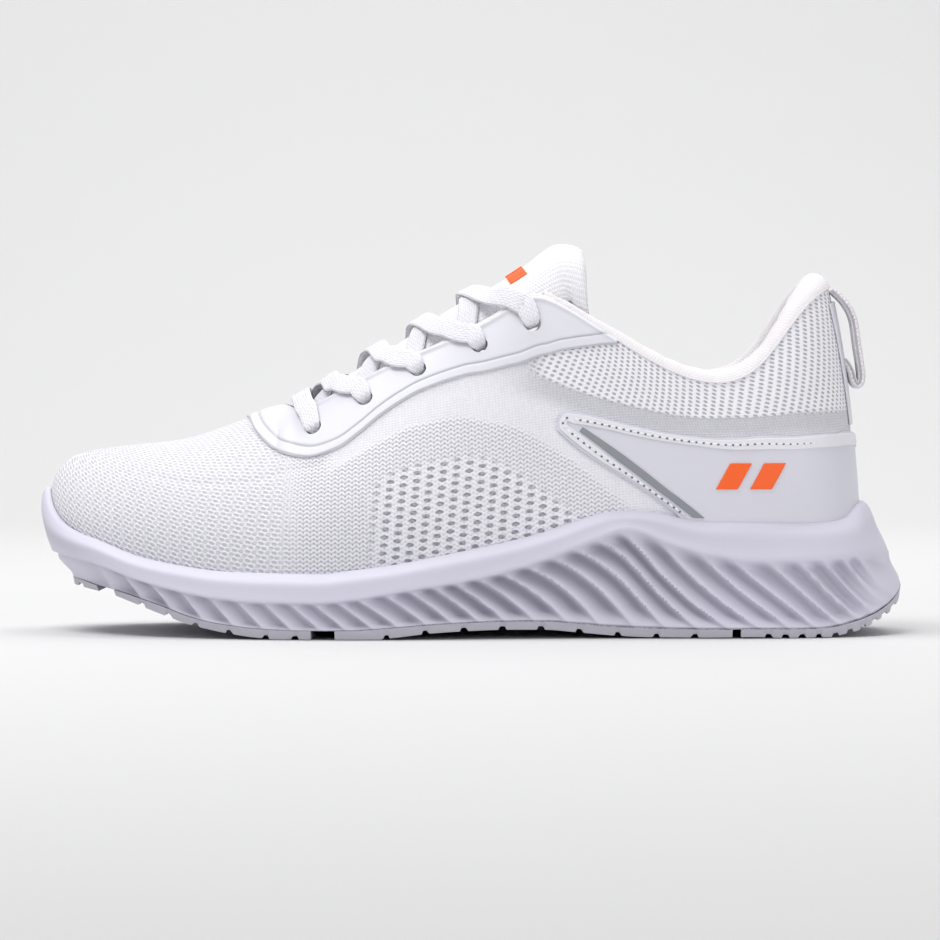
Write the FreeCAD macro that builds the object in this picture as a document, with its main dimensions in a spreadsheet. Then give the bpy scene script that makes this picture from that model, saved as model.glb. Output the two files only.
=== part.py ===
import FreeCAD, Part
import math
import os

# Running shoe standing on the ground plane z = 0, in millimetres.
# The toe points to -X and the heel to +X; the lateral side is -Y, the medial side +Y, and Z is up.
# The upper's outer face is one surface addressed by side, station (0 at the toe centre to 18 at
# the heel centre) and level (0 at the footbed to 1 at the top). The layers are offsets from it.

V = FreeCAD.Vector
os.makedirs("parts", exist_ok=True)
doc = FreeCAD.newDocument("running_shoe")

# ------------------------------------------------------------------ driving sizes
SIZES = [
    ("KnitThick", 1.6), ("LayerGap", 0.15), ("PuffThick", 0.8), ("BackingThick", 0.7),
    ("CounterThick", 1.5), ("LiningThick", 0.8), ("CollarPad", 8.6), ("BindingThick", 1.1),
    ("OverlayThick", 0.9), ("TrimThick", 0.7), ("StripeThick", 0.35), ("EmblemThick", 0.5),
    ("RimThick", 2.4), ("BoardThick", 1.2), ("InsoleThick", 4.0), ("ClothThick", 0.6),
    ("EyeletHole", 5.4), ("LaceWide", 6.4), ("LaceThick", 1.1), ("TabWide", 12.0),
    ("TabThick", 1.2), ("AgletDia", 3.2), ("AgletLong", 20.0), ("TreadDeep", 1.0),
    ("TreadSlot", 1.6), ("TreadPitch", 12.5), ("RibDeep", 1.9), ("TongueFace", 0.9),
    ("TongueLine", 0.7),
]
sheet = doc.addObject("Spreadsheet::Sheet", "Sizes")
for row, (alias, number) in enumerate(SIZES, start=1):
    sheet.set("A%d" % row, alias)
    sheet.set("B%d" % row, str(number))
    sheet.setAlias("B%d" % row, alias)
doc.recompute()


def size(alias):
    return float(sheet.get(alias))


KNIT, GAP = size("KnitThick"), size("LayerGap")
BACKING, COUNTER = size("BackingThick"), size("CounterThick")
BINDING, OVERLAY = size("BindingThick"), size("OverlayThick")
LACE_WIDE, LACE_THICK = size("LaceWide"), size("LaceThick")

LATERAL, MEDIAL = 0, 1
SIDES = (LATERAL, MEDIAL)


# ------------------------------------------------------------------ vectors and curves
def clamp(x, low, high):
    return min(max(x, low), high)


def mix(a, b, part):
    return tuple(p + (q - p) * part for p, q in zip(a, b))


def sub(a, b):
    return tuple(p - q for p, q in zip(a, b))


def dot(a, b):
    return sum(p * q for p, q in zip(a, b))


def add(point, vector, scale=1.0):
    return tuple(p + v * scale for p, v in zip(point, vector))


def unit(vector):
    length = math.sqrt(dot(vector, vector)) or 1.0
    return tuple(v / length for v in vector)


def cross(a, b):
    return (a[1] * b[2] - a[2] * b[1], a[2] * b[0] - a[0] * b[2], a[0] * b[1] - a[1] * b[0])


def step(x, start, end):
    """Smooth rise from 0 at start to 1 at end."""
    part = clamp((x - start) / (end - start), 0.0, 1.0)
    return part * part * (3 - 2 * part)


def value(rule, *place):
    """A fixed number, or a rule worked out at a place."""
    return rule(*place) if callable(rule) else rule


def segment(xs, x):
    """Index of the interval of the rising list xs that holds x, or of the nearest one."""
    low, high = 0, len(xs) - 1
    while high - low > 1:
        middle = (low + high) // 2
        if xs[middle] <= x:
            low = middle
        else:
            high = middle
    return low


def bisect(is_before, low, high):
    """Place between low and high where is_before turns false."""
    for _ in range(40):
        middle = (low + high) / 2
        if is_before(middle):
            low = middle
        else:
            high = middle
    return low


def hermite(start, leave, end, arrive, part):
    rest = 1 - part
    return (start * (1 + 2 * part) * rest ** 2 + leave * part * rest ** 2
            + end * part * part * (3 - 2 * part) + arrive * part * part * (part - 1))


def table(rows):
    """Shape-keeping cubic through (x, y) rows, constant beyond the ends."""
    xs, ys = zip(*rows)
    gaps = [b - a for a, b in zip(xs, xs[1:])]
    slopes = [(b - a) / gap for a, b, gap in zip(ys, ys[1:], gaps)]
    tangents = [slopes[0]] + [0.0] * (len(xs) - 2) + [slopes[-1]]
    for i in range(1, len(xs) - 1):
        if slopes[i - 1] * slopes[i] > 0:
            before = 2 * gaps[i] + gaps[i - 1]
            after = gaps[i] + 2 * gaps[i - 1]
            tangents[i] = (before + after) / (before / slopes[i - 1] + after / slopes[i])

    def curve(x):
        if x <= xs[0]:
            return ys[0]
        if x >= xs[-1]:
            return ys[-1]
        i = segment(xs, x)
        return hermite(ys[i], tangents[i] * gaps[i], ys[i + 1], tangents[i + 1] * gaps[i],
                       (x - xs[i]) / gaps[i])

    return curve


def smooth(rows, looped=False):
    """C2 cubic through equal-length tuples, as a function of the row index."""
    count, width = len(rows), len(rows[0])
    tangents = [[0.0] * width for _ in rows]
    for _ in range(60):
        for i in range(count):
            after = (i + 1) % count
            for c in range(width):
                if looped or 0 < i < count - 1:
                    rise = 3 * (rows[after][c] - rows[i - 1][c])
                    slope = (rise - tangents[i - 1][c] - tangents[after][c]) / 4
                elif i == 0:
                    slope = (3 * (rows[1][c] - rows[0][c]) - tangents[1][c]) / 2
                else:
                    slope = (3 * (rows[-1][c] - rows[-2][c]) - tangents[-2][c]) / 2
                tangents[i][c] = slope

    def curve(index):
        if looped:
            index %= count
            i = int(index)
        else:
            index = clamp(index, 0.0, count - 1.0)
            i = min(int(index), count - 2)
        j = (i + 1) % count
        return tuple(hermite(rows[i][c], tangents[i][c], rows[j][c], tangents[j][c], index - i)
                     for c in range(width))

    return curve


def loop(lateral, medial):
    """Closed curve through both sides' rows, toe to heel; called with side and index."""
    rows = lateral + medial[-2:0:-1]
    curve = smooth(rows, looped=True)
    return lambda side, index: curve(index if side == LATERAL else len(rows) - index)


# ------------------------------------------------------------------ plan outline
# widest outline of the midsole, toe to heel: (x, y)
LATERAL_LINE = [
    (-143.3, 8), (-141.3, -4), (-135.5, -15.5), (-125, -26.5), (-108, -37), (-85, -45.5),
    (-60, -50.8), (-35, -52), (-10, -49.5), (15, -45.2), (40, -42), (65, -41), (90, -41.2),
    (110, -39), (126, -33), (137, -22.3), (142.2, -10.5), (143.3, 0)]
MEDIAL_LINE = [
    (-143.3, 8), (-141.3, 19.5), (-135.5, 29.5), (-125, 38), (-108, 45.5), (-85, 51),
    (-62, 52), (-38, 49.5), (-12, 43.5), (15, 39), (40, 37.5), (65, 38.5), (90, 40),
    (110, 38.6), (126, 33), (137, 22.3), (142.2, 10.5), (143.3, 0)]
ring = loop(LATERAL_LINE, MEDIAL_LINE)
ARC_STEPS = 600


def arc_table(side):
    """Shares of one side's arc length, and the outline index at each."""
    indices = [(len(LATERAL_LINE) - 1) * j / float(ARC_STEPS) for j in range(ARC_STEPS + 1)]
    points = [ring(side, index) for index in indices]
    runs = [0.0]
    for before, after in zip(points, points[1:]):
        runs.append(runs[-1] + math.dist(before, after))
    return [run / runs[-1] for run in runs], indices


ARCS = [arc_table(side) for side in SIDES]


def outline(side, share):
    """x, y and outward normal of the widest outline; share is 0 at the toe, 1 at the heel."""
    shares, indices = ARCS[side]
    share = clamp(share, 0.0, 1.0)
    i = segment(shares, share)
    part = (share - shares[i]) / (shares[i + 1] - shares[i])
    index = indices[i] + (indices[i + 1] - indices[i]) * part
    along = unit(sub(ring(side, index + 0.01), ring(side, index - 0.01)))
    turn = 1 if side == LATERAL else -1
    x, y = ring(side, index)
    return x, y, (turn * along[1], -turn * along[0], 0.0)


def share_of_x(side, x):
    return bisect(lambda share: outline(side, share)[0] < x, 0.0, 1.0)


# ------------------------------------------------------------------ heights along the shoe
# all rows are (x, z)
RIM_Z = table([
    (-143.3, 47.3), (-142.6, 45.3), (-141.3, 41.6), (-139, 38), (-133.6, 34.3), (-122.8, 30.6),
    (-109.2, 25.8), (-95.7, 23.2), (-82, 21.5), (-68.3, 21), (-48, 20.8), (-39.1, 21.8),
    (-24, 23.7), (-10, 26.3), (5.3, 29.3), (20.7, 32.8), (32, 36.2), (39.7, 38.9),
    (47.3, 40.6), (55, 40.8), (62.7, 40.2), (70.3, 38.2), (78, 37.2), (89.5, 37.2),
    (110, 36.7), (123, 37.2), (130.5, 38.4), (135, 40.4), (139.5, 42.3), (143.3, 43)])
# crease between the midsole's upper and lower bands
RIDGE_Z = table([
    (-143.3, 26.8), (-135, 26), (-123.3, 23.7), (-108.7, 18.8), (-94.3, 15.3), (-81.7, 13.2),
    (-69, 12.2), (-50.5, 12), (-39.2, 12.9), (-27.7, 14.8), (-16.2, 16.8), (-6.7, 18.2),
    (5.3, 20.5), (20.6, 24.7), (35.9, 30.5), (43.6, 33.6), (48.2, 35.3), (51.2, 35.8),
    (55, 35.1), (62.7, 32), (70.3, 29.3), (81.8, 26.7), (93.3, 25.2), (108, 25.5), (121, 26),
    (132, 27), (139.5, 27.6), (143.3, 27.8)])
# joint between midsole and outsole
JOINT_Z = table([
    (-143.3, 18), (-136, 17.6), (-128, 16.4), (-115.7, 14.3), (-108, 12.2), (-100.3, 9.9),
    (-92.7, 7.2), (-85.1, 5.3), (-77.4, 4.2), (-69.8, 3.4), (-54.5, 2.8), (-39.2, 2.9),
    (-23.8, 3.8), (-10, 4.8), (13, 5.6), (24.3, 5.5), (35.9, 4.6), (47.3, 3.6), (62.7, 3.0),
    (81.8, 2.8), (93.3, 2.9), (107.3, 2.8), (116.2, 3.1), (122.1, 4.2), (131.1, 6.9),
    (137, 9.9), (141.2, 13.3), (143.3, 15.8)])
TREAD_Z = table([
    (-143.3, 15.6), (-132, 14.8), (-120, 13.2), (-114.1, 11.6), (-108, 9.6), (-100.3, 7.0),
    (-92.7, 4.6), (-81.3, 2.1), (-69.8, 0.5), (-58.3, -0.3), (-33.8, -0.3), (-23.8, 0.6),
    (-12.3, 1.9), (-2.3, 2.5), (11.3, 2.9), (24.3, 2.8), (35.9, 1.8), (47.3, 0.8),
    (58.9, 0.25), (78, 0.15), (92, 0.3), (98.7, 0.1), (105, -0.25), (116, -0.25),
    (122.1, 0.9), (128, 2.2), (134, 4.8), (140, 8.4), (142.6, 11.2), (143.3, 12.6)])
BED_Z = table([
    (-143.3, 40), (-140, 37.5), (-135, 33.6), (-128, 29.3), (-120, 25.6), (-100, 19.6),
    (-80, 16.2), (-60, 14.8), (-40, 15.2), (-20, 17), (0, 19.5), (20, 22.3), (40, 25),
    (60, 27), (80, 28), (100, 28.5), (130, 29.5)])
# top of the upper along its middle, from the toe to the throat
VAMP_Z = table([
    (-135, 57.0), (-130.5, 58.9), (-122.8, 60.6), (-109.2, 62.2), (-102.4, 62.8),
    (-95.7, 63.8), (-88.8, 65.7), (-82, 68.0), (-75.2, 70.6), (-69.7, 72.4), (-63, 74.9),
    (-60, 76)])
# y of the upper's middle line, by x
MIDDLE_Y = table([(-143.3, 8), (-130, 7.8), (-100, 6), (-80, 4.5), (-60, 3)])


def vamp_slope(x):
    return (VAMP_Z(x + 1) - VAMP_Z(x - 1)) / 2


# ------------------------------------------------------------------ upper's base surface
# per station: outline x, inset of the foot line from the outline,
# lower handle (outward, up, extra x), upper handle (x, y on the lateral side, z)
STATIONS = [
    (-143.3, 3.9, (3.4, 9.5, 0), (-7, 0, 0)),
    (-140.4, 4.2, (3.2, 10.5, 0), (-5.5, -7, 0)),
    (-131, 4.8, (3.0, 13, 0), (-3, -13, 0)),
    (-116, 5.4, (3.4, 17, 0), (-1, -19, 0)),
    (-99, 5.8, (3.8, 21, 0), (0, -23, 0)),
    (-83, 6.0, (4.0, 23, 0), (0, -24, 0)),
    (-67, 6.2, (4.0, 24, 0), (0, -21, 0)),
    (-52, 6.3, (3.5, 25, 0), (0, -15.5, -7)),
    (-38, 6.4, (3.0, 26, -1), (1, -14, -11)),
    (-21, 6.4, (2.5, 27, -1), (1, -13, -14)),
    (-2, 6.4, (2.0, 29, -1), (1.5, -11.5, -17)),
    (18, 6.4, (1.5, 31, -1), (2, -9.5, -20)),
    (38, 6.6, (1.2, 32, -1.5), (3.5, -8, -20)),
    (57, 7.0, (1.6, 28, -1), (3, -5.5, -16)),
    (75, 7.4, (2.4, 25, 0), (2, -3.8, -14)),
    (93, 8.2, (3.0, 23, 0), (3, -3.8, -13)),
    (112, 9.8, (2.6, 26, 0), (5, -4.8, -15)),
    (131, 12.3, (0.5, 30, 0), (7, -5, -21)),
    (143.3, 14.0, (-1.8, 32, 0), (5.6, 0, -22.3)),
]
HEEL = len(STATIONS) - 1
# station where the closed vamp ends and the throat opens
THROAT = 6
# x of the vamp's middle line at stations 0 to THROAT
VAMP_X = [-130.5, -127.2, -121, -112, -100, -84, -61.5]
# throat and collar edge at the stations after THROAT: x, y lateral, y medial, z
TOP_EDGE = [
    (-55.5, -13.5, 18.0, 73.2), (-42, -20, 22.5, 79.6), (-24, -23, 24, 89),
    (-5, -24.8, 25.2, 97.3), (12, -25.4, 25.4, 106.6), (23.6, -25.8, 25.8, 110.6),
    (42, -29.6, 29.2, 100.4), (60, -32.0, 31.2, 89.2), (77, -32.0, 31.2, 82.9),
    (94, -29.2, 28.6, 87.6), (109.4, -19.5, 19.2, 106.4), (119.2, 0, 0, 114.2)]

foot_rows, handle_rows, share_rows = [[], []], [[], []], [[], []]
for side in SIDES:
    for k, (line_x, inset, (outward, up, shift), _) in enumerate(STATIONS):
        share = 0.0 if k == 0 else 1.0 if k == HEEL else share_of_x(side, line_x)
        x, y, out = outline(side, share)
        if side == MEDIAL:
            inset -= 0.4 * math.sin(math.pi * k / HEEL)
        x, y, _ = add((x, y, 0), out, -inset)
        foot_rows[side].append((x, y, BED_Z(x) + 1.5))
        handle_rows[side].append((out[0] * outward + shift, out[1] * outward, up))
        share_rows[side].append(share)

foot_line = loop(*foot_rows)
foot_handle = loop(*handle_rows)
top_handle = loop([handle for _, _, _, handle in STATIONS],
                  [(x, -y * (0.88 if 2 <= k <= THROAT else 1.0), z)
                   for k, (_, _, _, (x, y, z)) in enumerate(STATIONS)])
vamp_x = smooth([(x,) for x in VAMP_X])
THROAT_POINT = (VAMP_X[-1], 3, VAMP_Z(VAMP_X[-1]))
top_edge = smooth([THROAT_POINT] + [(x, lateral, z) for x, lateral, _, z in TOP_EDGE]
                  + [(x, medial, z) for x, _, medial, z in TOP_EDGE[-2::-1]] + [THROAT_POINT])
station_at = [table(list(zip(share_rows[side], range(HEEL + 1)))) for side in SIDES]
share_at = [table(list(zip(range(HEEL + 1), share_rows[side]))) for side in SIDES]


def top_point(side, station):
    if station <= THROAT:
        x = vamp_x(station)[0]
        return (x, MIDDLE_Y(x), VAMP_Z(x))
    run = station - THROAT
    return top_edge(run if side == LATERAL else 2 * (HEEL - THROAT) - run)


def controls(side, station):
    """The four cubic control points of a station, foot to top."""
    if station < 0:
        side, station = 1 - side, -station
    if station > HEEL:
        side, station = 1 - side, 2 * HEEL - station
    foot, top = foot_line(side, station), top_point(side, station)
    x, y, z = top_handle(side, station)
    if station < THROAT:
        z = x * vamp_slope(top[0])
    else:
        z *= step(station, THROAT, THROAT + 0.8)
    return foot, add(foot, foot_handle(side, station)), add(top, (x, y, z)), top


def surface(side, station, level):
    rest = 1 - level
    weights = (rest ** 3, 3 * rest * rest * level, 3 * rest * level * level, level ** 3)
    return tuple(dot(weights, column) for column in zip(*controls(side, station)))


def normal(side, station, level):
    """Outward normal of the surface."""
    if station <= THROAT and level > 0.995:
        return unit((-vamp_slope(top_point(side, station)[0]), 0.0, 1.0))
    # the surface narrows to a point here, so read the normal a little lower down
    if level > 0.97 and station < 0.25:
        level = 0.97
    if THROAT < station < THROAT + 1:
        level = min(level, 0.88 + 0.12 * (station - THROAT))
    along = sub(surface(side, station + 0.02, level), surface(side, station - 0.02, level))
    upward = sub(surface(side, station, min(level + 0.01, 1.0)),
                 surface(side, station, max(level - 0.01, 0.0)))
    facing = unit(cross(along, upward))
    point = surface(side, station, level)
    core = (clamp(point[0] * 0.92, -118, 100), MIDDLE_Y(point[0]) * 0.8, 44)
    if dot(facing, sub(point, core)) < 0:
        facing = tuple(-c for c in facing)
    return facing


def skin(side, station, level, off):
    """Point at a distance outside (+) or inside (-) the surface."""
    return add(surface(side, station, level), normal(side, station, level), off)


def locate(x, z):
    """Station and level of the lateral surface point with this x and z."""
    def miss(i, j):
        point = surface(LATERAL, i * 0.5, j * 0.05)
        return (point[0] - x) ** 2 + (point[2] - z) ** 2

    _, i, j = min((miss(i, j), i, j) for i in range(1, 36) for j in range(1, 20))
    station, level = i * 0.5, j * 0.05
    for _ in range(12):
        point = surface(LATERAL, station, level)
        moved = sub(surface(LATERAL, station + 0.01, level), point)
        raised = sub(surface(LATERAL, station, level + 0.001), point)
        along_x, along_z = moved[0] / 0.01, moved[2] / 0.01
        up_x, up_z = raised[0] / 0.001, raised[2] / 0.001
        area = along_x * up_z - along_z * up_x
        if abs(area) < 1e-9:
            break
        miss_x, miss_z = x - point[0], z - point[2]
        station += clamp((miss_x * up_z - miss_z * up_x) / area, -0.5, 0.5)
        level += clamp((along_x * miss_z - along_z * miss_x) / area, -0.1, 0.1)
        station, level = clamp(station, 0.0, 18.0), clamp(level, 0.0, 1.0)
    return station, level


# ------------------------------------------------------------------ solids from grids of poles
def knots(count, degree):
    inner = count - degree - 1
    return ([i / (inner + 1.0) for i in range(inner + 2)],
            [degree + 1] + [1] * inner + [degree + 1])


def face(grid):
    """B-spline face with the grid's points as poles, cubic where there are enough of them."""
    degree_u, degree_v = min(3, len(grid) - 1), min(3, len(grid[0]) - 1)
    knots_u, mults_u = knots(len(grid), degree_u)
    knots_v, mults_v = knots(len(grid[0]), degree_v)
    spline = Part.BSplineSurface()
    spline.buildFromPolesMultsKnots([[V(*point) for point in row] for row in grid],
                                    mults_u, mults_v, knots_u, knots_v, False, False,
                                    degree_u, degree_v)
    return Part.Face(spline)


def solid_of(faces):
    shell = Part.Shell(faces)
    if not shell.isClosed():
        sewn = Part.makeCompound(faces)
        sewn.sewShape(0.01)
        if sewn.Shells:
            shell = sewn.Shells[0]
    solid = Part.Solid(shell)
    if solid.Volume < 0:
        solid.reverse()
    return solid


def slab_faces(outer, inner, skip=()):
    """Faces between two grids; skip lists the edges left open: top, start or end.

    Start and end are the first and last rows, top is the last column.
    """
    faces = [face(outer), face(inner), face([[row[0] for row in outer], [row[0] for row in inner]])]
    if "top" not in skip:
        faces.append(face([[row[-1] for row in outer], [row[-1] for row in inner]]))
    if "start" not in skip:
        faces.append(face([outer[0], inner[0]]))
    if "end" not in skip:
        faces.append(face([outer[-1], inner[-1]]))
    return faces


def slab_solid(*slabs):
    """One solid from slabs (outer grid, inner grid, open edges) that meet at open edges."""
    return solid_of([one for slab in slabs for one in slab_faces(*slab)])


def heel_wrap(grids):
    """One solid running round the heel; grids(side) gives outer and inner grids."""
    return slab_solid(*[(*grids(side), ("end",)) for side in SIDES])


def side_pair(grids):
    """Two separate solids, one on each side."""
    return [slab_solid(grids(side)) for side in SIDES]


def grid_of(point_at, rows, cols):
    return [[point_at(i / (rows - 1.0), j / (cols - 1.0)) for j in range(cols)]
            for i in range(rows)]


def wall(side, start, end, low, high, outer, inner, rows, cols):
    """Outer and inner grids over a station range; levels and offsets may be rules."""
    def grid(off):
        def point_at(along, up):
            station = start + (end - start) * along
            bottom, top = value(low, station), value(high, station)
            level = bottom + (top - bottom) * up
            return skin(side, station, level, value(off, station, level))
        return grid_of(point_at, rows, cols)
    return grid(outer), grid(inner)


def panel(side, low, high, outer, inner, rows, cols):
    """Outer and inner grids between two edge paths on the surface."""
    def grid(off):
        def point_at(along, up):
            station, level = mix(low(along), high(along), up)
            return skin(side, station, level, off)
        return grid_of(point_at, rows, cols)
    return grid(outer), grid(inner)


products = []


def keep(name, shape):
    piece = doc.addObject("Part::Feature", name)
    piece.Shape = shape
    piece.Label = name
    products.append(piece)


# ------------------------------------------------------------------ knit upper and eyestay
# lower edge of the eyestay, toe to heel: (x, z)
EYESTAY_EDGE = [
    (-72.6, 67.2), (-71, 64.6), (-68.3, 62.4), (-61.7, 60.2), (-54.7, 58.6), (-50, 58.8),
    (-43, 61.2), (-36.3, 65.9), (-29.3, 71.7), (-22.7, 76.2), (-16, 79.9), (-9, 82.6),
    (-2.3, 84.7), (4.7, 86), (11.3, 87.7), (18.2, 89.6), (25, 91.8), (31.7, 93.5),
    (38.7, 94.5), (45.3, 95.2)]
EYELETS = [(-50.7, 67.5), (-34, 77.2), (-16.7, 86.8), (3.3, 94.8), (20.5, 101.8)]
EYESTAY_FRONT, EYESTAY_END, EYESTAY_BACKING_END = 5.45, 13.3, 12.0
OVERLAY_TOP = GAP + OVERLAY

eyestay_level = table(
    [(EYESTAY_FRONT, 0.80)]
    + [place for place in [locate(x, z) for x, z in EYESTAY_EDGE]
       if place[0] > EYESTAY_FRONT + 0.25]
    + [(13.35, 0.975)])
eyelets = [locate(x, z) for x, z in EYELETS]


def knit_upper():
    slabs = []
    for side in SIDES:
        slabs.append((*wall(side, 0, THROAT, 0, 1, 0, -KNIT, 26, 16), ("start", "end", "top")))
        slabs.append((*wall(side, THROAT, HEEL, 0, 1, 0, -KNIT, 50, 16), ("start", "end")))
    return slab_solid(*slabs)


def eyestay_strip(margin, outer, inner, end):
    """Strip along the throat, joined across the vamp; margin draws its edge in."""
    def low(station):
        return min(eyestay_level(station) + margin * 0.25, 0.995)

    slabs = []
    for side in SIDES:
        slabs.append((*wall(side, EYESTAY_FRONT + margin, THROAT, low, 1, outer, inner, 8, 8),
                      ("end", "top")))
        slabs.append((*wall(side, THROAT, end, low, 1, outer, inner, 40, 8), ("start",)))
    return slab_solid(*slabs)


def eyelet_punch(side, station, level, inside=6, outside=5):
    """Cylinder through an eyelet, reaching inside and outside the surface."""
    facing = normal(side, station, level)
    return Part.makeCylinder(size("EyeletHole") / 2, inside + outside,
                             V(*skin(side, station, level, -inside)), V(*facing))


punches = [eyelet_punch(side, *place) for side in SIDES for place in eyelets]


def punched(shape):
    return shape.cut(Part.makeCompound(punches))


keep("knit_upper", punched(knit_upper()))
keep("eyestay_overlay", punched(eyestay_strip(0.0, GAP, OVERLAY_TOP, EYESTAY_END)))
keep("eyestay_backing", punched(eyestay_strip(0.12, -KNIT - GAP, -KNIT - GAP - BACKING,
                                              EYESTAY_BACKING_END)))

# ------------------------------------------------------------------ toe puff
keep("toe_puff", slab_solid(*[
    (*wall(side, 0, 3.4, 0.04, lambda station: 0.80 - 0.05 * station,
           -KNIT - GAP, -KNIT - GAP - size("PuffThick"), 16, 10), ("start",))
    for side in SIDES]))

# ------------------------------------------------------------------ heel counter and collar
# depth of the padded collar: (station, depth)
PAD_DEPTH = table([(11.9, 3.4), (12.6, 5.0), (13.4, 7.2), (14.4, size("CollarPad")),
                   (18, size("CollarPad"))])
FRONT_DEPTH = KNIT + GAP + 0.8
COUNTER_DEPTH = KNIT + GAP + COUNTER + GAP
ROLL_OFF = 0.45
FOAM_TOP = ROLL_OFF - BINDING - GAP


def lining_depth(station, level):
    """Depth of the collar lining's outer face below the surface."""
    low = FRONT_DEPTH + (COUNTER_DEPTH - FRONT_DEPTH) * step(station, 12.2, 13.6)
    return low + (PAD_DEPTH(station) - low) * step(level, 0.42, 0.80)


def lining_outer(station, level):
    return -lining_depth(station, level) - GAP


def lining_inner(station, level):
    return lining_outer(station, level) - size("LiningThick")


def roll(side, station, angle, off):
    """Rolled top of the collar; angle is 0 outside and pi inside."""
    point = surface(side, station, 1.0)
    upward = unit(sub(point, surface(side, station, 0.97)))
    half = (PAD_DEPTH(station) + 1.3) / 2
    rise = 3.0 + 2.4 * step(station, 12, 14)
    point = add(point, normal(side, station, 1.0), (half + off) * math.cos(angle) - half)
    return add(point, upward, (rise + off) * math.sin(angle) + 0.12)


def binding_grids(side):
    return [grid_of(lambda along, round_: roll(side, 12.06 + 5.94 * along, math.pi * round_, off),
                    32, 9) for off in (ROLL_OFF, ROLL_OFF - BINDING)]


def foam_grids(side):
    """Foam faces: up the wall for the first 0.7, then over the roll to a shared crest."""
    def place(along, up):
        return 12.35 + 5.65 * along, 0.60 + 0.395 * up / 0.7, (up - 0.7) / 0.3

    def outer(along, up):
        station, level, over = place(along, up)
        if up <= 0.7:
            return skin(side, station, level, -KNIT - GAP - 0.1)
        return roll(side, station, math.pi / 2 * over * 0.999 + 0.0008,
                    FOAM_TOP - 0.95 * (1 - over))

    def inner(along, up):
        station, level, over = place(along, up)
        if up <= 0.7:
            return skin(side, station, level, -lining_depth(station, level))
        return roll(side, station, math.pi - math.pi / 2 * over * 0.999 - 0.0008,
                    FOAM_TOP - 0.75 * (1 - over))

    outer_grid, inner_grid = grid_of(outer, 30, 16), grid_of(inner, 30, 16)
    for outer_row, inner_row in zip(outer_grid, inner_grid):
        outer_row[-1] = inner_row[-1] = mix(outer_row[-1], inner_row[-1], 0.5)
    return outer_grid, inner_grid


keep("heel_counter", heel_wrap(lambda side: wall(
    side, 13.75, HEEL, 0.02, 0.40, -KNIT - GAP, -KNIT - GAP - COUNTER, 26, 8)))
keep("collar_lining", heel_wrap(lambda side: wall(
    side, 12.25, HEEL, 0.02, 1, lining_outer, lining_inner, 32, 18)))
keep("collar_binding", heel_wrap(binding_grids))
keep("collar_foam", slab_solid(*[(*foam_grids(side), ("end", "top")) for side in SIDES]))


# ------------------------------------------------------------------ paths on the surface
def path(points):
    """Path through (x, z) points seen from the side; gives (station, level) for 0 to 1."""
    places = [locate(x, z) for x, z in points]
    runs = [0.0]
    for before, after in zip(points, points[1:]):
        runs.append(runs[-1] + math.dist(before, after))
    station_of, level_of = [
        table([(run / runs[-1], place[c]) for run, place in zip(runs, places)]) for c in (0, 1)]
    return lambda part: (station_of(part), level_of(part))


def heel_level(z):
    """Level of a height on the heel's centre line."""
    return bisect(lambda level: surface(LATERAL, HEEL, level)[2] < z, 0.0, 1.0)


def path_to_heel(points, end_z):
    """Path whose last tenth runs on to the heel centre line at height end_z."""
    body_path = path(points)
    last_station, last_level = body_path(1.0)
    end_level = heel_level(end_z)

    def place(part):
        if part < 0.9:
            return body_path(part / 0.9)
        tail = (part - 0.9) / 0.1
        return (last_station + (HEEL - last_station) * tail,
                last_level + (end_level - last_level) * step(tail, 0, 1))

    return place


def rim_level(side, station, lift=0.0):
    """Level where the surface meets the midsole rim, plus a lift in mm."""
    z = RIM_Z(outline(side, share_at[side](station))[0]) + lift
    return bisect(lambda level: surface(side, station, level)[2] < z, 0.0, 0.7)


# ------------------------------------------------------------------ heel overlay and its trims
overlay_top = path_to_heel([
    (28.4, 71.0), (31, 73.6), (38.7, 72.4), (46.3, 70.6), (54, 68.8), (61.7, 67.0),
    (69.3, 65.8), (76.9, 65), (92.2, 65.3), (107.5, 65.4), (120, 65.6)], 65.7)
overlay_front = path([
    (28.2, 67.4), (34.7, 61.8), (41.3, 57.2), (48.3, 53), (55, 48.9), (61.8, 44.2), (68.2, 39.6)])
corner_station, corner_level = overlay_front(1.0)
RIM_LIFT = 0.7
corner_lift = corner_level - rim_level(LATERAL, corner_station, RIM_LIFT)


def overlay_low(part, front=0.42):
    """Diagonal front edge for the first share, then along the midsole rim to the heel."""
    if part < front:
        return overlay_front(part / front)
    station = corner_station + (HEEL - corner_station) * (part - front) / (1 - front)
    fade = 1 - step(station, corner_station, corner_station + 0.4)
    return station, rim_level(LATERAL, station, RIM_LIFT) + corner_lift * fade


top_trim_low = path_to_heel([
    (33.5, 69.4), (38.7, 68.6), (46.3, 67.2), (54, 65.4), (61.7, 64.0), (69.3, 62.8),
    (76.9, 61.9), (92.2, 61.1), (107.5, 61.0), (120, 61.1)], 61.1)
top_trim_high = path_to_heel([
    (33.5, 72.6), (38.7, 71.7), (46.3, 70.0), (54, 68.2), (61.7, 66.4), (69.3, 65.2),
    (76.9, 64.4), (92.2, 64.7), (107.5, 64.8), (120, 65.0)], 65.1)
diagonal_low = path([
    (30.2, 66.6), (35.5, 62.3), (42.1, 57.6), (49.1, 53.4), (55.8, 49.3), (62.6, 44.6),
    (68.6, 40.4)])
diagonal_high = path([
    (32.4, 68.3), (41.1, 61.8), (48.2, 56.4), (54.8, 51.4), (60.2, 47.3), (65.1, 43.7),
    (70.6, 39.6)])
stripe_low = path([
    (35.6, 66.9), (41.9, 62.3), (48.9, 56.9), (55.7, 51.9), (61.2, 47.7), (66.1, 44.1),
    (72.6, 39.0)])
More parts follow.
